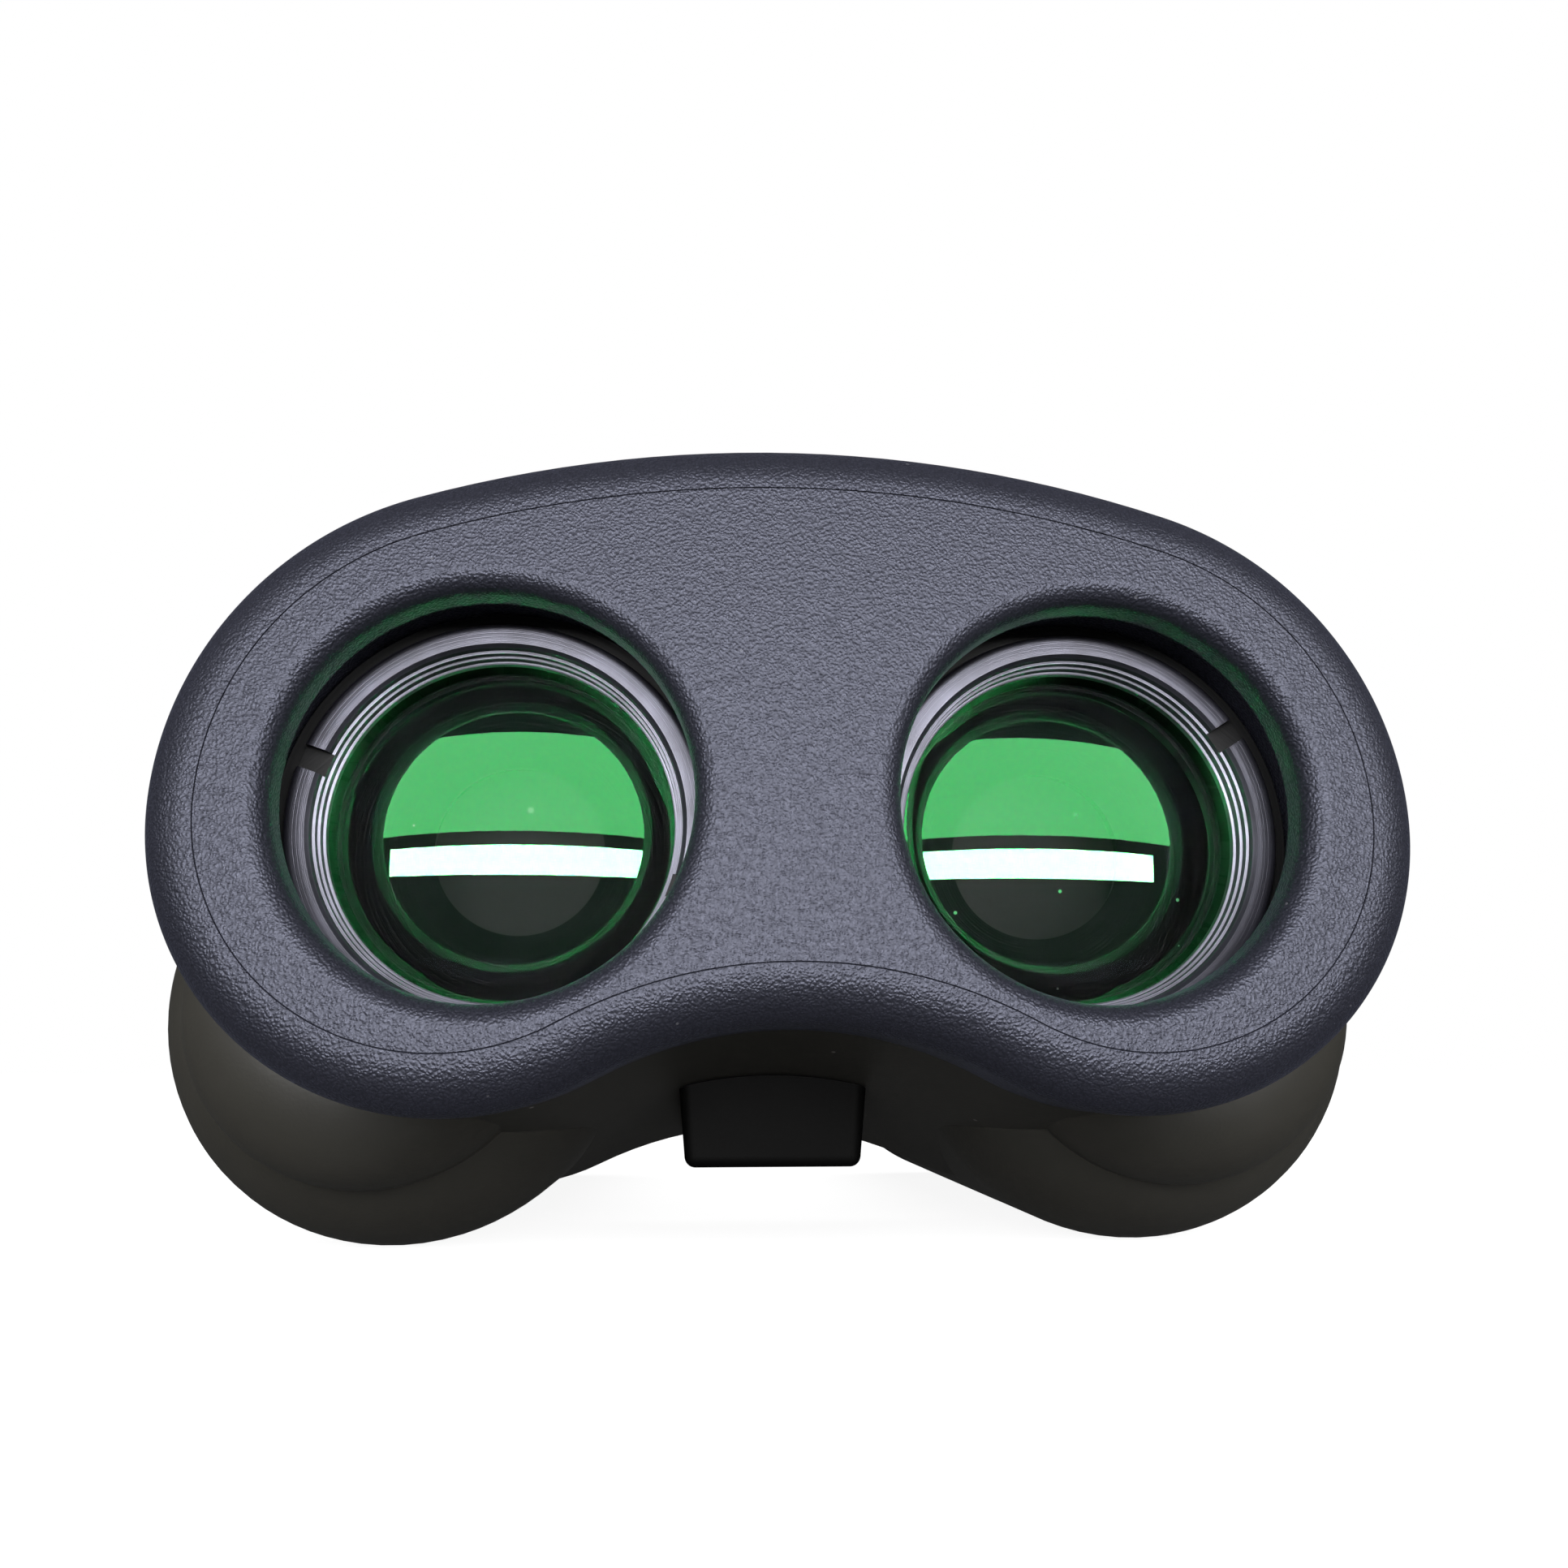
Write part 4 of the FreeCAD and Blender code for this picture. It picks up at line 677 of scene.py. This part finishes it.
# The grain's creases are painted darker than the pebbles, as painted shade.
blend_color(tree, shader, grain.outputs["Crease"], (0.04, 0.04, 0.043), (0.018, 0.018, 0.02))
blend_value(tree, shader.inputs["Roughness"], grain.outputs["Crease"], 0.6, 0.8)
raise_surface(tree, shader, grain.outputs["Height"], 0.00012, 0.4)
hood_low, hood_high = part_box("objective_hood_right")
hood_front = hood_high.y
hood_back = hood_low.y
hood_x = (hood_low.x + hood_high.x) / 2
hood_z = (hood_low.z + hood_high.z) / 2
hood_reach = hood_z - hood_low.z
hood_bore = hood_reach - 0.002
mouth_bore = hood_reach - 0.003
mouth_back = hood_front - 0.014
lip_points = [(0.003, 0.0012), (0.0028, 0.0006), (0.0023, 0.0001), (0.0017, 0),
              (0.0006, 0.0003), (0.0001, 0.0009), (0, 0.0016)]
ribs_front = 0.005
rib_spacing = 0.0028
groove_points = [(0.0006, 0.0004), (0.0006, 0.0013), (0, 0.0017), (0, rib_spacing)]
tail_points = [(0, 0.0007), (0.0002, 0.0002), (0.0007, 0)]
for side, sign in SIDES:
    profile = [(mouth_bore, mouth_back)]
    profile += [(hood_reach - inset, hood_front - depth) for inset, depth in lip_points]
    profile += [(hood_reach, hood_front - ribs_front)]
    for rib in range(6):
        start = hood_front - ribs_front - rib * rib_spacing
        profile += [(hood_reach - inset, start - depth) for inset, depth in groove_points]
    profile += [(hood_reach - inset, hood_back + depth) for inset, depth in tail_points]
    profile += [(hood_bore, hood_back), (hood_bore, mouth_back), (mouth_bore, mouth_back)]
    hood = turned_piece("objective_hood_ribbed_" + side, sign * hood_x, hood_z, profile, 144, 40)
    hood.data.materials.append(rubber_look)
    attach(hood, "head")
    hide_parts("objective_hood_" + side)
    paint_node("objective_seal_" + side, rubber_look)
    paint_node("objective_ring_" + side, turned_look(
        "objective_ring_" + side, (sign * hood_x, 0, hood_z), (0.02, 0.02, 0.023),
        (0.15, 0.15, 0.17), 0.6, 0.3, 0.5, 5000, 0.00004))

# ---- Plates, pillars, straps and screws of the optical chassis -------------------------------------
# The milled front plate carries the brass pillars, and the prism plate stands on them. Sprung steel
# straps hold the prisms. Plates, straps and solenoid are held by blackened socket screws.


def brushed_look(name, dark, light, smooth, rough, stretch):
    """Metal rolled or milled along one way: long fine marks, drawn out by a stretch."""
    material, tree, shader = flat_look(name, dark, rough)
    shader.inputs["Metallic"].default_value = 1
    place = tree.nodes.new("ShaderNodeTexCoord")
    mapping = tree.nodes.new("ShaderNodeMapping")
    mapping.inputs["Scale"].default_value = stretch
    tree.links.new(place.outputs["Object"], mapping.inputs["Vector"])
    lines = add_node(tree, "ShaderNodeTexNoise", Scale=1.0, Detail=4.0)
    tree.links.new(mapping.outputs["Vector"], lines.inputs["Vector"])
    blend_color(tree, shader, lines.outputs["Fac"], dark, light)
    blend_value(tree, shader.inputs["Roughness"], lines.outputs["Fac"], smooth, rough)
    raise_surface(tree, shader, lines.outputs["Fac"], 0.00003, 0.4)
    return material


plate_look = brushed_look("plate_milled", (0.42, 0.42, 0.44), (0.6, 0.6, 0.62), 0.28, 0.45,
                          (300, 300, 6000))
strap_look = brushed_look("strap_spring_steel", (0.4, 0.4, 0.42), (0.65, 0.65, 0.67), 0.22, 0.36,
                          (5000, 400, 400))
screw_look = brushed_look("screw_blackened", (0.06, 0.06, 0.065), (0.16, 0.16, 0.17), 0.34, 0.5,
                          (2500, 2500, 2500))
brass_look = brushed_look("brass_turned", (0.58, 0.43, 0.18), (0.8, 0.63, 0.32), 0.22, 0.38,
                          (600, 6000, 600))
zinc_look = brushed_look("zinc_plated", (0.5, 0.52, 0.55), (0.72, 0.73, 0.75), 0.26, 0.42,
                         (900, 4000, 900))
for name in ("front_plate", "prism_plate"):
    paint_node(name, plate_look)
for name in ("far_prism_strap_", "near_prism_strap_"):
    for side in ("left", "right"):
        paint_node(name + side, strap_look)
for name in ("front_plate_screws", "prism_plate_screws", "strap_screws", "solenoid_screws",
             "block_screws", "shutter_screws"):
    paint_node(name, screw_look)
paint_node("chassis_pillars", brass_look)

# ---- Prisms ----------------------------------------------------------------------------------------
# Two right-angle glass prisms for each eye turn the picture upright. Their faces carry a little
# dust, and they throw back little light.

prism_look, tree, shader = flat_look("prism_glass_ground", (0.93, 0.96, 0.97), 0.04)
shader.inputs["Specular Tint"].default_value = (0.1, 0.12, 0.14, 1)
shader.inputs["Transmission Weight"].default_value = 1
shader.inputs["IOR"].default_value = 1.57
dust = place_effect(tree, dust_group, Specks_per_metre=500, Share=0.03)
blend_value(tree, shader.inputs["Roughness"], dust.outputs["Mask"], 0.02, 0.5)
blend_color(tree, shader, dust.outputs["Mask"], (0.93, 0.96, 0.97), (0.7, 0.7, 0.7))
for side in ("left", "right"):
    paint_node("near_prism_" + side, prism_look)
    paint_node("far_prism_" + side, prism_look)

# ---- Coin shutter ----------------------------------------------------------------------------------
# A rotary solenoid turns a thin blade with two discs out of the light while the paid time runs. Its
# case is zinc plated, its bearing cap and the blade's hub are brass and the blade is matt black.

paint_node("solenoid_case", zinc_look)
paint_node("solenoid_cap", brass_look)
paint_node("shutter_hub", brass_look)
paint_node("shutter_rotor", zinc_look)
paint_node("shutter_blade", painted_look("blade_matt_black", (0.008, 0.008, 0.008),
                                         (0.02, 0.02, 0.02), 0.6, 0.75))
coil_look, tree, shader = flat_look("coil_copper_wire", (0.5, 0.2, 0.07), 0.35)
shader.inputs["Metallic"].default_value = 0.6
winding = place_effect(tree, turned_group, (0, 0, eye_z), Marks_per_metre=4200)
blend_color(tree, shader, winding.outputs["Height"], (0.28, 0.09, 0.03), (0.7, 0.32, 0.12))
blend_value(tree, shader.inputs["Roughness"], winding.outputs["Shade"], 0.28, 0.5)
raise_surface(tree, shader, winding.outputs["Height"], 0.00015, 0.7)
paint_node("solenoid_coil", coil_look)

# ---- Cable gland -----------------------------------------------------------------------------------
# A moulded black nylon gland and its nut line the hole for the shutter's cable, through the block.
# Nylon has a soft shine and a faint cloud in its colour.

nylon_look, tree, shader = flat_look("gland_nylon", (0.025, 0.025, 0.026), 0.45)
nylon = place_effect(tree, paint_group, Speckle_per_metre=2600, Cloud_per_metre=160)
blend_color(tree, shader, nylon.outputs["Tone"], (0.018, 0.018, 0.019), (0.04, 0.04, 0.042))
blend_value(tree, shader.inputs["Roughness"], nylon.outputs["Tone"], 0.35, 0.55)
raise_surface(tree, shader, nylon.outputs["Height"], 0.00004, 0.4)
paint_node("cable_gland", nylon_look)
paint_node("gland_nut", nylon_look)
